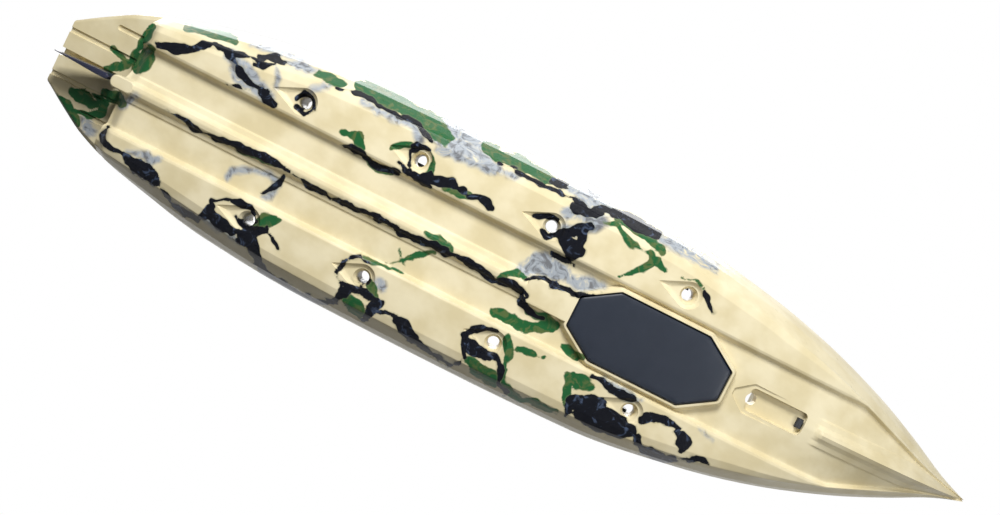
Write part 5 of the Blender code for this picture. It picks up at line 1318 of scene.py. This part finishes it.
@dataclass
class SubAssembly:
    """Base of every group of pieces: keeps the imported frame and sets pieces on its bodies."""

    frame: dict

    def place(self, made: Thing, name: str, body: str, finish: Finish, *nodes: str,
              angle: float = 32.0) -> Thing:
        """Names, shades, dresses and seats a piece.

        Args:
            made: the piece, in place.
            name: its name.
            body: the body that it rides on.
            finish: its finish.
            nodes: CAD nodes that it stands for.
            angle: sharpest angle that is shaded smooth, in degrees.
        Returns:
            The piece.
        """
        made.name = name
        finish.dress(smooth(made, angle))
        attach(made, body)
        if nodes:
            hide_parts(*nodes)
        LOG.info("%s: %d faces on %s", name, len(made.data.polygons), body)
        return made

    def fasten(self, name: str, body: str, head: Thing, points: Iterable[Point], spread: float = tau) -> None:
        """Sets steel screw or bolt heads on points of a body, each turned by up to the spread."""
        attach(Repeat(head, STEEL).on(name, points, spread), body)

    def bar(self, name: str, body: str, finish: Finish, node: str, path: Sequence[Point], bend: float,
            radius: float, steps: int = 10, sides: int = 24, dome: bool = False) -> None:
        """A round bar for a CAD node, bent at a path's corners, each bend with so many steps."""
        made = swept(name, bent(path, bend, steps), radius, sides, dome=dome)
        self.place(made, name, body, finish, node, angle=BAR_ANGLE)

    def keep(self, finish: Finish, *nodes: str, edge: float = 0.0006) -> None:
        """Gives CAD nodes a finish and lightly rounded edges."""
        for name in nodes:
            node = self.frame["nodes"][name]
            finish.dress(node)
            if edge:
                rounding = node.modifiers.new("edge", "BEVEL")
                rounding.width, rounding.segments, rounding.limit_method = edge, 2, "ANGLE"
                rounding.angle_limit = radians(40)
                rounding.harden_normals = True
            LOG.info("%s: kept", name)


@dataclass
class DriveInsert(SubAssembly):
    """The lift-out tub in the drive well, with its two wire bails."""

    hull: Hull
    wall: float = 0.004
    flange: float = 0.026
    seat: float = 0.1086
    plate: float = 0.006
    bottom: float = 0.002
    wire: float = 0.003
    bail_half: float = 0.045
    bail_reach: float = 0.060
    bail_inset: float = 0.012

    def ring(self, margin: float, radius: float = 0.012) -> list[Vector]:
        """The tub's plan with a margin round it and soft corners."""
        return rounded(self.hull.octagon(margin), max(0.003, radius + margin), 6)

    def build(self) -> None:
        """Builds tub, ribs, screws and bails."""
        hull, top = self.hull, self.seat + self.plate
        middle = Vector((sum(hull.insert_x) / 2, 0.0))
        inner = self.ring(-0.030, 0.05)
        face = [([middle + (p - middle) * share for p in inner], z) for share, z in
                ((0.04, 0.0003), (0.3, 0.0004), (0.55, 0.0007), (0.8, 0.0012))]
        face += [(self.ring(-m, 0.02 + m), z) for m, z in
                 ((0.030, 0.0018), (0.018, 0.0026), (0.010, 0.0036), (0.005, 0.0052), (0.0015, 0.0080),
                  (0.0, 0.012))]
        flange, seat, wall, base = self.flange, self.seat, self.wall, self.bottom + self.wall
        up = ((0.0, seat - 0.004), (0.003, seat), (flange - 0.001, seat), (flange, seat + 0.001),
              (flange, top - 0.002), (flange - 0.002, top))
        tub = stack("tub", face + [(self.ring(margin), z) for margin, z in up])
        room = layered("room", self.ring, (
            (-0.016, base), (-0.008, base + 0.003), (-wall - 0.001, 0.020), (-wall, top - 0.003),
            (-wall + 0.003, top + 0.0005), (-wall + 0.003, top + 0.02)))
        tub = carved(tub, [room])
        pivot_z = top + 0.005 + self.wire
        low, high = hull.insert_x[0] - self.bail_inset, hull.insert_x[1] + self.bail_inset
        ears = []
        for x in (low, high):
            for side in (1, -1):
                y0, y1 = sorted((side * (self.bail_half + 0.011), side * (self.bail_half + 0.019)))
                ears.append(
                    block("ear", (x - 0.006, y0, top - 0.001), (x + 0.006, y1, pivot_z + 0.0068), 0.0015))
        ribs = [block("rib", (x - 0.0015, -hull.insert_half + 0.004, 0.004),
                      (x + 0.0015, hull.insert_half - 0.004, 0.014), 0.0008)
                for x in (0.38, 0.46, 0.54, 0.62, 0.70)]
        tub = joined(tub, ears + ribs)
        holes = [drum("pivot", (x, 0, pivot_z), ACROSS, self.wire + 0.0005, 0.2, 20) for x in (low, high)]
        self.place(carved(tub, holes), "insert_tub", "insert", SLATE, "drive_insert")
        self.keep(GRIP, "insert_seal", edge=0.0)
        middle = self.ring(self.flange * 0.5 + 0.002)
        spots = [middle[i] for i in range(3, len(middle), 7)]
        self.fasten("insert_screws", "insert", screw_head(), [(p[0], p[1], top) for p in spots])
        for name, x, reach in (("aft", low, self.bail_reach), ("fore", high, -self.bail_reach)):
            end, half = self.bail_half + 0.022, self.bail_half
            path = [(x, end), (x, half), (x + reach, half)]
            path += [(px, -py) for px, py in reversed(path)]
            body = f"bail_{name}"
            self.bar(f"{body}_wire", body, STEEL, f"insert_bail_{name}",
                     [(px, py, pivot_z) for px, py in path],
                     0.008, self.wire, 8, 16, dome=True)
            sleeve = [(x + reach, -0.026, pivot_z), (x + reach, 0.026, pivot_z)]
            grip = swept("grip", [Vector(sleeve[0]).lerp(Vector(sleeve[1]), k / 40) for k in range(41)],
                         lambda s: self.wire + 0.0013 + 0.0004 * cos(s * 60), 20)
            self.place(grip, f"{body}_sleeve", body, GRIP, angle=50)


@dataclass
class Rudder(SubAssembly):
    """The rudder's blade and its steering line up to the hand lever."""

    axis_x: float = -1.715
    half: float = 0.011
    chord: float = 0.2325
    bottom: float = 0.012
    top: float = 0.142
    neck_top: float = 0.2097
    stock: float = 0.006
    lever_at: Pair = (-0.035, 0.372)
    deck: float = 0.322

    def thickness(self, share: float) -> float:
        """Half thickness of the foil at a share of its chord, from the round nose to the thin tail."""
        nose = sqrt(max(0.0, min(1.0, share / 0.06)))
        taper = 1.0 - 0.92 * ease(0.08, 1.05, share)
        return self.half * min(nose, 1.0) * taper + 0.0006

    def blade(self) -> Thing:
        """The foil, faired into its neck."""
        lead = self.axis_x + self.half
        rings = []
        for k in range(33):
            share = (k / 32) ** 1.5
            x, half = lead - share * self.chord, self.thickness(share)
            low, high = self.bottom + 0.020 * share ** 2, self.top - 0.035 * share ** 2
            soft = min(half, 0.008)
            outline = rounded([(-half, low), (half, low), (half, high), (-half, high)], 0.92 * soft)
            rings.append([(x, p[0], p[1]) for p in outline])
        return loft("blade", rings)

    def build(self) -> None:
        """Builds the blade and dresses the steering line."""
        neck = turned("neck",
                      [(0.0, 0.10), (0.0108, 0.10), (0.0108, self.top - 0.002), (0.0112, self.top + 0.004),
                               (0.0112, self.neck_top - 0.001), (0.0102, self.neck_top),
                       (0.0, self.neck_top)], (self.axis_x, 0, 0), 40)
        blade = joined(self.blade(), [neck])
        socket = drum("socket", (self.axis_x, 0, 0.23), UP, self.stock + GAP, 0.4, 32)
        self.place(carved(blade, [socket]), "rudder_foil", "rudder", NAVY, "rudder_blade", angle=40)
        self.keep(BLACK, "rudder_bush_lower", "rudder_bush_upper", "cable_gland", "lever_base", "lever_knob")
        self.keep(STEEL, "rudder_stock", "steering_rod", edge=0.0)
        self.keep(ALLOY, "tiller_arm", "steering_lever")
        self.keep(GRIP, "steering_cable", edge=0.0)
        x, y = self.lever_at
        spots = circle((x, y, self.deck + 0.0075), 0.021, (0.8, 2.4, 3.9, 5.5))
        self.fasten("lever_screws", "boat", screw_head(0.0026), spots)


@dataclass
class Hatches(SubAssembly):
    """The bow hatch on its hinge and latches, and the round hatch in the cockpit."""

    hull: Hull
    seal: float = 0.003
    thickness: float = 0.005
    lip: float = 0.012
    pin: float = 0.003

    def build(self) -> None:
        """Builds both hatches."""
        self.bow_lid()
        self.keep(GRIP, "hatch_gasket", edge=0.0)
        self.keep(BLACK, "hatch_hinge")
        self.keep(STEEL, "hatch_hinge_pin", edge=0.0)
        self.keep(BLACK, "hatch_latch_port", "hatch_latch_starboard", edge=0.0010)
        self.round_hatch()

    def bow_lid(self) -> None:
        """The lid: a lipped plate with a raised border, three ribs and a hinge knuckle."""
        hull = self.hull
        outline, low = hull.hatch_outline, hull.coaming_top + self.seal + 2 * GAP
        top, rim = low + self.thickness, hull.coaming_width + 0.004
        lid = layered("lid", outline, (
            (-0.010, low - self.lip), (-0.008, low - self.lip + 0.002), (-0.008, low), (rim - 0.001, low),
            (rim, low + 0.001), (rim, top - 0.002), (rim - 0.0007, top - 0.0006), (rim - 0.003, top),
            (-0.004, top), (-0.008, top - 0.0018), (-0.05, top - 0.0018)))
        room = layered("room", outline, ((-0.012, low - 0.03), (-0.012, low + 0.0008)))
        lid = carved(lid, [room])
        axis_x, axis_z = hull.hatch_x[1] + hull.hinge_offset, hull.coaming_top + GAP + 0.0042
        x0 = hull.hatch_x[1] + hull.coaming_width - 0.01
        arm = block("arm", (x0, -0.0225, low + 0.0004), (axis_x, 0.0225, top - 0.0004))
        knuckle = drum("knuckle", (axis_x, 0, axis_z), ACROSS, hull.knuckle, 0.045, 32)
        ribs = [block("rib", (1.165, y - 0.003, top - 0.003), (1.405, y + 0.003, top - 0.0002), 0.0010)
                for y in (-0.045, 0.0, 0.045)]
        lid = joined(lid, [arm, knuckle, *ribs])
        lid = carved(lid, [drum("bore", (axis_x, 0, axis_z), ACROSS, self.pin + GAP, 0.2, 20)])
        MarblingAndReflections().paint(lid)
        self.place(lid, "bow_lid_skin", "bow_lid", SAND, "hatch_lid")

    def round_hatch(self) -> None:
        """A screwed ring and its twist lid with a ribbed rim."""
        hull = self.hull
        x, bore = hull.round_hatch
        neck, rim, at = bore + 0.004, 0.080, (x, 0, hull.cockpit_floor)
        ring = turned("ring",
                      [(bore, 0.0076), (bore + 0.0008, 0.008), (neck + 0.004, 0.008), (rim - 0.002, 0.0046),
                       (rim, 0.0036),
                               (rim, GAP), (neck, GAP), (neck, -0.020), (bore, -0.020)], at, 72)
        self.place(ring, "round_hatch_seat", "boat", BLACK, "round_hatch_ring")
        spots = circle((x, 0, hull.cockpit_floor + 0.0054), 0.073, round_angles(8))
        self.fasten("round_hatch_screws", "boat", screw_head(0.003), spots)
        plug = 0.97 * bore
        lid = turned("lid",
                     [(0.0, 0.0115), (0.036, 0.0115), (0.040, 0.0130), (0.050, 0.0130), (0.060, 0.0122),
                      (0.0620, 0.0112),
                             (0.0620, 0.0083), (plug, 0.0083), (plug, -0.006), (0.0, -0.006)], at, 96)
        floor = hull.cockpit_floor
        grip = block("grip", (x - 0.040, -0.007, floor + 0.009), (x + 0.040, 0.007, floor + 0.0238), 0.003, 4)
        notches = [drum("notch", at, UP, 0.0021, 0.01, 12)
                   for at in circle((x, 0, floor + 0.0105), 0.0632, round_angles(36))]
        lid = carved(combine(lid, [grip], "UNION"), notches)
        self.place(lid, "round_hatch_cap", "round_lid", BLACK, "round_hatch_lid")


@dataclass
class Seat(SubAssembly):
    """The sliding seat: rails, tube frame, folding back and two cushions."""

    rail_top: float = 0.1773
    seat_x: Pair = (-0.600, -0.190)
    half: float = 0.215
    tube: float = 0.0095
    height: float = 0.290
    floor: float = 0.165
    leg_x: Pair = (-0.550, -0.250)
    pivot_z: float = 0.392
    back_length: float = 0.330
    lean: float = 12.0
    pin: float = 0.004
    inset: float = 0.016
    voxel: float = 0.0055
    quick_voxel: float = 0.009
    pressure: float = 4.0
    stiffness: float = 25.0
    bend_stiffness: float = 4.0
    frames: int = 20
    most_swell: float = 0.0030
    channels: Pair = (-0.34, 0.34)
    channel_width: float = 0.028
    channel_depth: float = 0.0042
    stitch_pitch: float = 0.0042
    stitches: int = 44

    def build(self) -> None:
        """Builds the seat from the floor up."""
        self.keep(ALLOY, "seat_rail_port", "seat_rail_starboard", edge=0.0010)
        self.keep(STEEL, "back_pin_port", "back_pin_starboard", edge=0.0)
        self.frame_loop()
        self.back_loop()
        self.cushion("seat_cushion", "seat", "seat_pad", UP)
        lean = radians(self.lean)
        self.cushion("back_cushion", "seat_back", "back_pad", Vector((cos(lean), 0, sin(lean))))

    def pivot_x(self) -> float:
        """Where the back folds."""
        return self.seat_x[0] + 0.012

    def frame_loop(self) -> None:
        """The seat's tube loop with legs, shoes and the back's lugs."""
        loop = rounded(rectangle(*self.seat_x, self.half), 0.055, 12)
        frame = swept("loop", [(p[0], p[1], self.height) for p in loop], self.tube, 20, closed=True)
        extra, grooves, x = [], [], self.pivot_x()
        for side in (1, -1):
            y = side * self.half
            for leg in self.leg_x:
                extra.append(drum("leg", (leg, y, (self.rail_top + self.height) / 2), UP, 0.0080,
                                  self.height - self.rail_top, 24))
                extra.append(block("shoe", (leg - 0.028, y - 0.017, self.floor + 0.0035),
                                   (leg + 0.028, y + 0.017, self.rail_top + 0.008), 0.003))
            extra.append(block("lug", (x - 0.014, y - 0.003, self.height),
                               (x + 0.014, y + 0.003, self.pivot_z + 0.014), 0.0012))
            grooves.append(
                block("groove", (-1, y - 0.0105, self.floor - 0.01), (1, y + 0.0105, self.rail_top + GAP)))
        frame = joined(frame, extra)
        hole = drum("hole", (x, 0, self.pivot_z), ACROSS, self.pin + GAP, 1.0, 24)
        frame = carved(carved(frame, grooves), [hole])
        self.place(frame, "seat_tube_frame", "seat", ALLOY, "seat_frame", angle=38)

    def back_loop(self) -> None:
        """The back's arched tube."""
        lean, half = radians(self.lean), self.half - self.inset
        along = Vector((-sin(lean), 0, cos(lean)))
        foot = Vector((self.pivot_x(), 0, self.pivot_z))
        low, high, side = foot - along * 0.013, foot + along * self.back_length, Vector((0, half, 0))
        path = bent([low + side, high + side, high - side, low - side], 0.060, 12)
        frame = swept("arch", path, self.tube, 20)
        frame = carved(frame, [drum("hole", foot, ACROSS, self.pin + 0.0008, 1.0, 24)])
        self.place(frame, "back_tube_frame", "seat_back", ALLOY, "back_frame", angle=50)

    def cushion(self, node: str, body: str, name: str, up: Vector) -> None:
        """A cushion plumped up from its CAD solid along its thickness, with piping and seams."""
        source = self.frame["nodes"][node]
        graph = bpy.context.evaluated_depsgraph_get()
        mesh = bpy.data.meshes.new_from_object(source.evaluated_get(graph))
        mesh.transform(source.matrix_world)
        made = object_from(name, mesh)
        rest = [v.co.copy() for v in mesh.vertices]
        centre = sum(rest, Vector()) / len(rest)
        wide = max(abs((p - centre).dot(up)) for p in rest)
        remesh = made.modifiers.new("even", "REMESH")
        remesh.mode, remesh.voxel_size = "VOXEL", self.voxel
        made = baked(made)
        made = self.plump(made)
        self.press_channels(made, centre, up, wide)
        refine = made.modifiers.new("fine", "SUBSURF")
        refine.levels = refine.render_levels = 1
        made = baked(made)
        self.place(made, name, body, CLOTH, node, angle=80)
        self.piping(made, name, body, centre, up)

    def plump(self, made: Thing) -> Thing:
        """Inflates a cushion a little by cloth simulation, so that its faces pull and crease."""
        before = [v.co.copy() for v in made.data.vertices]
        cloth = made.modifiers.new("cloth", "CLOTH")
        cloth.settings.use_pressure = True
        cloth.settings.uniform_pressure_force = self.pressure
        cloth.settings.effector_weights.gravity = 0.0
        cloth.settings.tension_stiffness = cloth.settings.compression_stiffness = self.stiffness
        cloth.settings.bending_stiffness = self.bend_stiffness
        cloth.point_cache.frame_start, cloth.point_cache.frame_end = 1, self.frames
        scene = bpy.context.scene
        for step in range(1, self.frames + 1):
            scene.frame_set(step)
        made, limit = baked(made), self.most_swell
        for vert, start in zip(made.data.vertices, before):
            move = vert.co - start
            if move.length > limit:
                vert.co = start + move.normalized() * limit
        scene.frame_set(1)
        return made

    def press_channels(self, made: Thing, centre: Vector, up: Vector, wide: float) -> None:
        """Presses two stitched channels across the cushion's show face."""
        along = ACROSS.cross(up)
        span = max(abs((v.co - centre).dot(along)) for v in made.data.vertices)
        for vert in made.data.vertices:
            away = vert.co - centre
            s, height = away.dot(along) / span, away.dot(up)
            if height > 0.2 * wide:
                dip = sum(exp(-((s - at) / self.channel_width) ** 2) for at in self.channels)
                edge = 1.0 - ease(0.80, 0.94, abs(away.y) / 0.22)
                ripple = 1.0 + 0.25 * sin(away.y * 260.0)
                vert.co -= up * (self.channel_depth * dip * edge * ripple)

    def piping(self, made: Thing, name: str, body: str, centre: Vector, up: Vector) -> None:
        """A piped seam round the cushion's widest line, and stitches along its channels."""
        tree = BVHTree.FromPolygons(
            [v.co for v in made.data.vertices], [p.vertices[:] for p in made.data.polygons])
        along, middle = ACROSS.cross(up), centre - up * 0.004
        path = []
        for k in range(160):
            a = tau * k / 160
            ray = (cos(a) * along + sin(a) * ACROSS).normalized()
            hit = tree.ray_cast(middle + ray * 0.6, -ray)[0]
            if hit:
                path.append(hit + ray * 0.0006)
        piped = swept(f"{name}_piping", path, 0.0022, 10, closed=True)
        self.place(piped, f"{name}_piping", body, CLOTH, angle=BAR_ANGLE)
        spots = []
        span = max((v.co - centre).dot(along) for v in made.data.vertices)
        for at in self.channels:
            for k in range(-self.stitches, self.stitches + 1):
                start = centre + along * (at * span) + ACROSS * (k * self.stitch_pitch) + up * 0.2
                hit = tree.ray_cast(start, -up)[0]
                if hit:
                    spots.append(hit + up * 0.0001)
        stitch = swept("stitch", [(0, -0.0011, 0), (0, 0, 0.0002), (0, 0.0011, 0)], 0.0004, 6, dome=True)
        stitches = Repeat(stitch, THREAD).on(f"{name}_stitches", spots, 0.0)
        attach(stitches, body)


@dataclass
class FootRests(SubAssembly):
    """A rail and a sliding pedal on each side of the foot well."""

    wall_y: float = 0.285 - GAP
    rail_z: float = 0.165
    depth: float = 0.010
    bolt_x: tuple[float, ...] = (0.312, 0.344, 0.776, 0.808)

    def build(self) -> None:
        """Builds both sides."""
        for name, side in SIDES:
            self.keep(ALLOY, f"foot_rail_{name}", edge=0.0012)
            self.keep(BLACK, f"foot_pedal_{name}", edge=0.0015)
            y = side * (self.wall_y - self.depth)
            bolt = screw_head(0.0042, 0.0020)
            bolt.data.transform(Matrix.Rotation(side * pi / 2, 4, "X"))
            spots = [(x, y, self.rail_z) for x in self.bolt_x]
            self.fasten(f"foot_rail_bolts_{name}", "boat", bolt, spots, 0.0)


@dataclass
class DeckFittings(SubAssembly):
    """Tracks, rod holders, handles, pad eyes, bungee and drain plug."""

    deck: float = 0.322
    track_x: Pair = (0.110, 0.550)
    track_y: float = 0.366
    holder: Pair = (-0.780, 0.348)
    handle_x: Pair = (-0.480, -0.280)
    handle_y: float = 0.395
    handle_reach: float = 0.060
    wire: float = 0.007
    eye_x: tuple[float, ...] = (-1.400, -1.140, -0.880)
    eye_y: tuple[float, ...] = (0.275, 0.305, 0.320)
    cord: float = 0.0035

    def build(self) -> None:
        """Builds every fitting."""
        self.tracks()
        self.rod_holders()
        self.side_handles()
        self.end_handles()
        self.bungee()
        self.keep(BLACK, "cable_bracket", "drain_plug", edge=0.0008)

    def tracks(self) -> None:
        """Gear tracks, bolted down through their slots."""
        self.keep(ALLOY, "gear_track_port", "gear_track_starboard", edge=0.0004)
        for name, side in SIDES:
            spots = [(self.track_x[0] + 0.03 + k * 0.095, side * self.track_y, self.deck + 0.0026)
                     for k in range(5)]
            self.fasten(f"track_bolts_{name}", "boat", screw_head(0.0038, 0.0022), spots)

    def rod_holders(self) -> None:
        """Flush tubes that lean aft, each held by four screws."""
        x, across = self.holder
        for name, side in SIDES:
            self.keep(BLACK, f"rod_holder_{name}", edge=0.0012)
            spots = [(x + dx, side * across + dy, self.deck + 0.006) for dx in (-0.036, 0.033)
                     for dy in (-0.023, 0.023)]
            self.fasten(f"rod_holder_screws_{name}", "boat", screw_head(0.003), spots)

    def grip(self, name: str, start: Point, end: Point, body: str) -> None:
        """A ribbed sleeve on a handle's straight part."""
        start, end, steps = Vector(start), Vector(end), 90
        path = [start.lerp(end, k / steps) for k in range(steps + 1)]
        sleeve = swept(name, path,
                       lambda s: self.wire + 0.0012 * ease(0.0, 0.04, s) * (1 - ease(0.96, 1.0, s))
                       + 0.0005 * sin(s * 26 * pi) ** 2, 24)
        self.place(sleeve, name, body, GRIP, angle=55)

    def side_handles(self) -> None:
        """Flip-up carry handles amidships."""
        z, (x0, x1) = self.deck + 0.013, self.handle_x
        for name, side in SIDES:
            y = side * self.handle_y
            inner = y - side * self.handle_reach
            path = [(x0 - 0.022, y, z), (x0, y, z), (x0, inner, z), (x1, inner, z), (x1, y, z),
                    (x1 + 0.022, y, z)]
            body = f"handle_{name}"
            self.bar(f"side_{body}_bar", body, BLACK, f"side_{body}", path, 0.012, self.wire, dome=True)
            self.grip(f"side_{body}_grip", (x0 + 0.03, inner, z), (x1 - 0.03, inner, z), body)
            self.keep(
                BLACK, f"side_handle_bracket_{name}_aft", f"side_handle_bracket_{name}_fore", edge=0.0010)

    def end_handles(self) -> None:
        """Fixed handles on bow and stern."""
        rise = 0.034
        for name, foot, (x0, x1), (y0, y1), grip_x, grip_y in (
                ("bow", 0.3933, (1.700, 1.830), (0, 0), (1.725, 1.805), (0, 0)),
                ("stern", self.deck + GAP, (-1.890, -1.890), (-0.065, 0.065), (-1.890, -1.890),
                 (-0.04, 0.04))):
            path = [(x0, y0, foot), (x0, y0, foot + rise), (x1, y1, foot + rise), (x1, y1, foot)]
            self.bar(f"{name}_handle_bar", "boat", BLACK, f"{name}_handle", path, 0.018, self.wire)
            start, end = zip(grip_x, grip_y)
            self.grip(f"{name}_handle_grip", (*start, foot + rise), (*end, foot + rise), "boat")

    def bungee(self) -> None:
        """Pad eyes and the cord that is laced through them."""
        foot, number = self.deck + GAP, 0
        for x, y in zip(self.eye_x, self.eye_y):
            for side in (1, -1):
                number += 1
                centre = side * y
                y0, y1, top = centre - 0.012, centre + 0.012, foot + 0.019
                path = [(x, y0, foot), (x, y0, top), (x, y1, top), (x, y1, foot)]
                self.bar(f"pad_eye_{number}_wire", "boat", STEEL, f"pad_eye_{number}", path, 0.010, 0.003, 8,
                         16)
        cord = swept("cord", through(self.route(), 8), self.cord, 14, dome=True)
        self.place(cord, "bungee_lacing", "boat", CORD, "bungee_cord", angle=BAR_ANGLE)

    def route(self) -> list[Point]:
        """Places that the cord passes, from its port knot to its starboard one."""
        low = self.deck + 0.0125
        aft, mid, fore = zip(self.eye_x, self.eye_y)
        half = [(aft[0] - 0.030, aft[1] - 0.004), aft, (aft[0] + 0.030, aft[1] - 0.018), (mid[0] - 0.13, 0.0),
                (mid[0] - 0.030, -mid[1] + 0.018), (mid[0], -mid[1]), (mid[0] + 0.030, -mid[1] + 0.018),
                (mid[0] + 0.13, 0.0),
                (fore[0] - 0.030, fore[1] - 0.018), fore, (fore[0] + 0.022, fore[1] - 0.012),
                (fore[0] + 0.030, 0.15)]
        over = [(x, -y, low if y else low + 0.010) for x, y in reversed(half)]
        return [(x, y, low) for x, y in half] + over


@dataclass
class Studio:
    """Camera, floor, lamps and white surroundings."""

    aim: Triple = (-0.105, -0.055, 0.0)
    distance: float = 4.2
    turn: float = 26.67
    tip: float = -3.0
    lens: float = 40.9
    sensor: float = 36.0
    pale: float = 0.82
    ambient: float = 0.08

    # Name, place, size in metres and power in watts of the lamps under the boat
    LAMPS = (("key_below", (-0.8, -3.0, -2.6), 1.4, 205.0), ("bow_below", (3.0, -0.3, -3.0), 2.0, 62.0))

    def camera(self) -> None:
        """The camera under the boat, set as in the photograph."""
        a = radians(self.turn)
        axes = Matrix(((cos(a), -sin(a), 0), (-sin(a), -cos(a), 0), (0, 0, -1))).transposed().to_4x4()
        axes = Matrix.Rotation(radians(self.tip), 4, "X") @ axes
        data = bpy.data.cameras.new("view")
        data.lens, data.sensor_width = self.lens, self.sensor
        camera = object_from("view", data)
        back = axes.to_3x3() @ UP
        camera.matrix_world = Matrix.Translation(Vector(self.aim) + self.distance * back) @ axes
        bpy.context.scene.camera = camera

    def floor(self) -> None:
        """A pale floor that shows from above and lets everything from below through."""
        floor = block("floor", (-25, -25, -0.003), (25, 25, -0.001))
        look = bpy.data.materials.new("pale_floor")
        look.use_nodes = True
        graph = NodeGraph(look.node_tree)
        shader = look.node_tree.nodes["Principled BSDF"]
        graph.feed(shader, "Base Color", (self.pale, self.pale, self.pale, 1))
        graph.feed(shader, "Roughness", 0.9)
        path = graph.add("ShaderNodeLightPath").outputs["Is Camera Ray"]
        face = graph.add("ShaderNodeNewGeometry").outputs
        height = graph.add("ShaderNodeSeparateXYZ", inputs={0: face["Normal"]}).outputs[2]
        side = graph.math("GREATER_THAN", height, 0.5)
        front = graph.math("SUBTRACT", 1.0, face["Backfacing"])
        shown = graph.math("MULTIPLY", graph.math("MULTIPLY", path, side), front)
        clear = graph.add("ShaderNodeBsdfTransparent").outputs[0]
        both = graph.add("ShaderNodeMixShader", inputs={0: shown, 1: clear, 2: shader.outputs[0]})
        graph.tree.links.new(both.outputs[0], look.node_tree.nodes["Material Output"].inputs[0])
        floor.data.materials.append(look)

    def world(self) -> None:
        """White to the camera and in reflections, softer on plain surfaces."""
        world = bpy.data.worlds.new("white_room")
        bpy.context.scene.world = world
        world.use_nodes = True
        graph = NodeGraph(world.node_tree)
        rays = graph.add("ShaderNodeLightPath").outputs
        seen = graph.math("MAXIMUM", graph.math("MAXIMUM", rays["Is Camera Ray"], rays["Is Glossy Ray"]),
                          rays["Is Transmission Ray"])
        background = world.node_tree.nodes["Background"]
        background.inputs["Color"].default_value = (1, 1, 1, 1)
        graph.tree.links.new(
            graph.math("MULTIPLY_ADD", seen, 1 - self.ambient, self.ambient), background.inputs["Strength"])

    def lamp(self, name: str, at: Point, size: float, power: float) -> None:
        """A soft square lamp that faces the boat's middle."""
        data = bpy.data.lights.new(name, "AREA")
        data.size, data.energy = size, power
        lamp = object_from(name, data)
        lamp.location = at
        lamp.rotation_euler = (Vector((0, 0, 0.1)) - Vector(at)).to_track_quat("-Z", "Y").to_euler()

    def build(self) -> None:
        """Sets up the whole studio."""
        self.camera()
        self.floor()
        self.world()
        for row in self.LAMPS:
            self.lamp(*row)
        sky = bpy.data.lights.new("top", "SUN")
        sky.energy, sky.angle = 2.6, radians(50)
        object_from("top", sky).rotation_euler = (radians(28), radians(-12), 0)
        bpy.context.scene.view_settings.view_transform = "Standard"


def main() -> None:
    """Builds the kayak round its frame, then the studio."""
    logging.basicConfig(level=logging.INFO, format="%(name)s %(message)s")
    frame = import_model()
    hull = Hull()
    hull.build()
    DriveInsert(frame, hull).build()
    Rudder(frame).build()
    Hatches(frame, hull).build()
    Seat(frame).build()
    FootRests(frame).build()
    DeckFittings(frame).build()
    Studio().build()


if __name__ == "__main__":
    main()
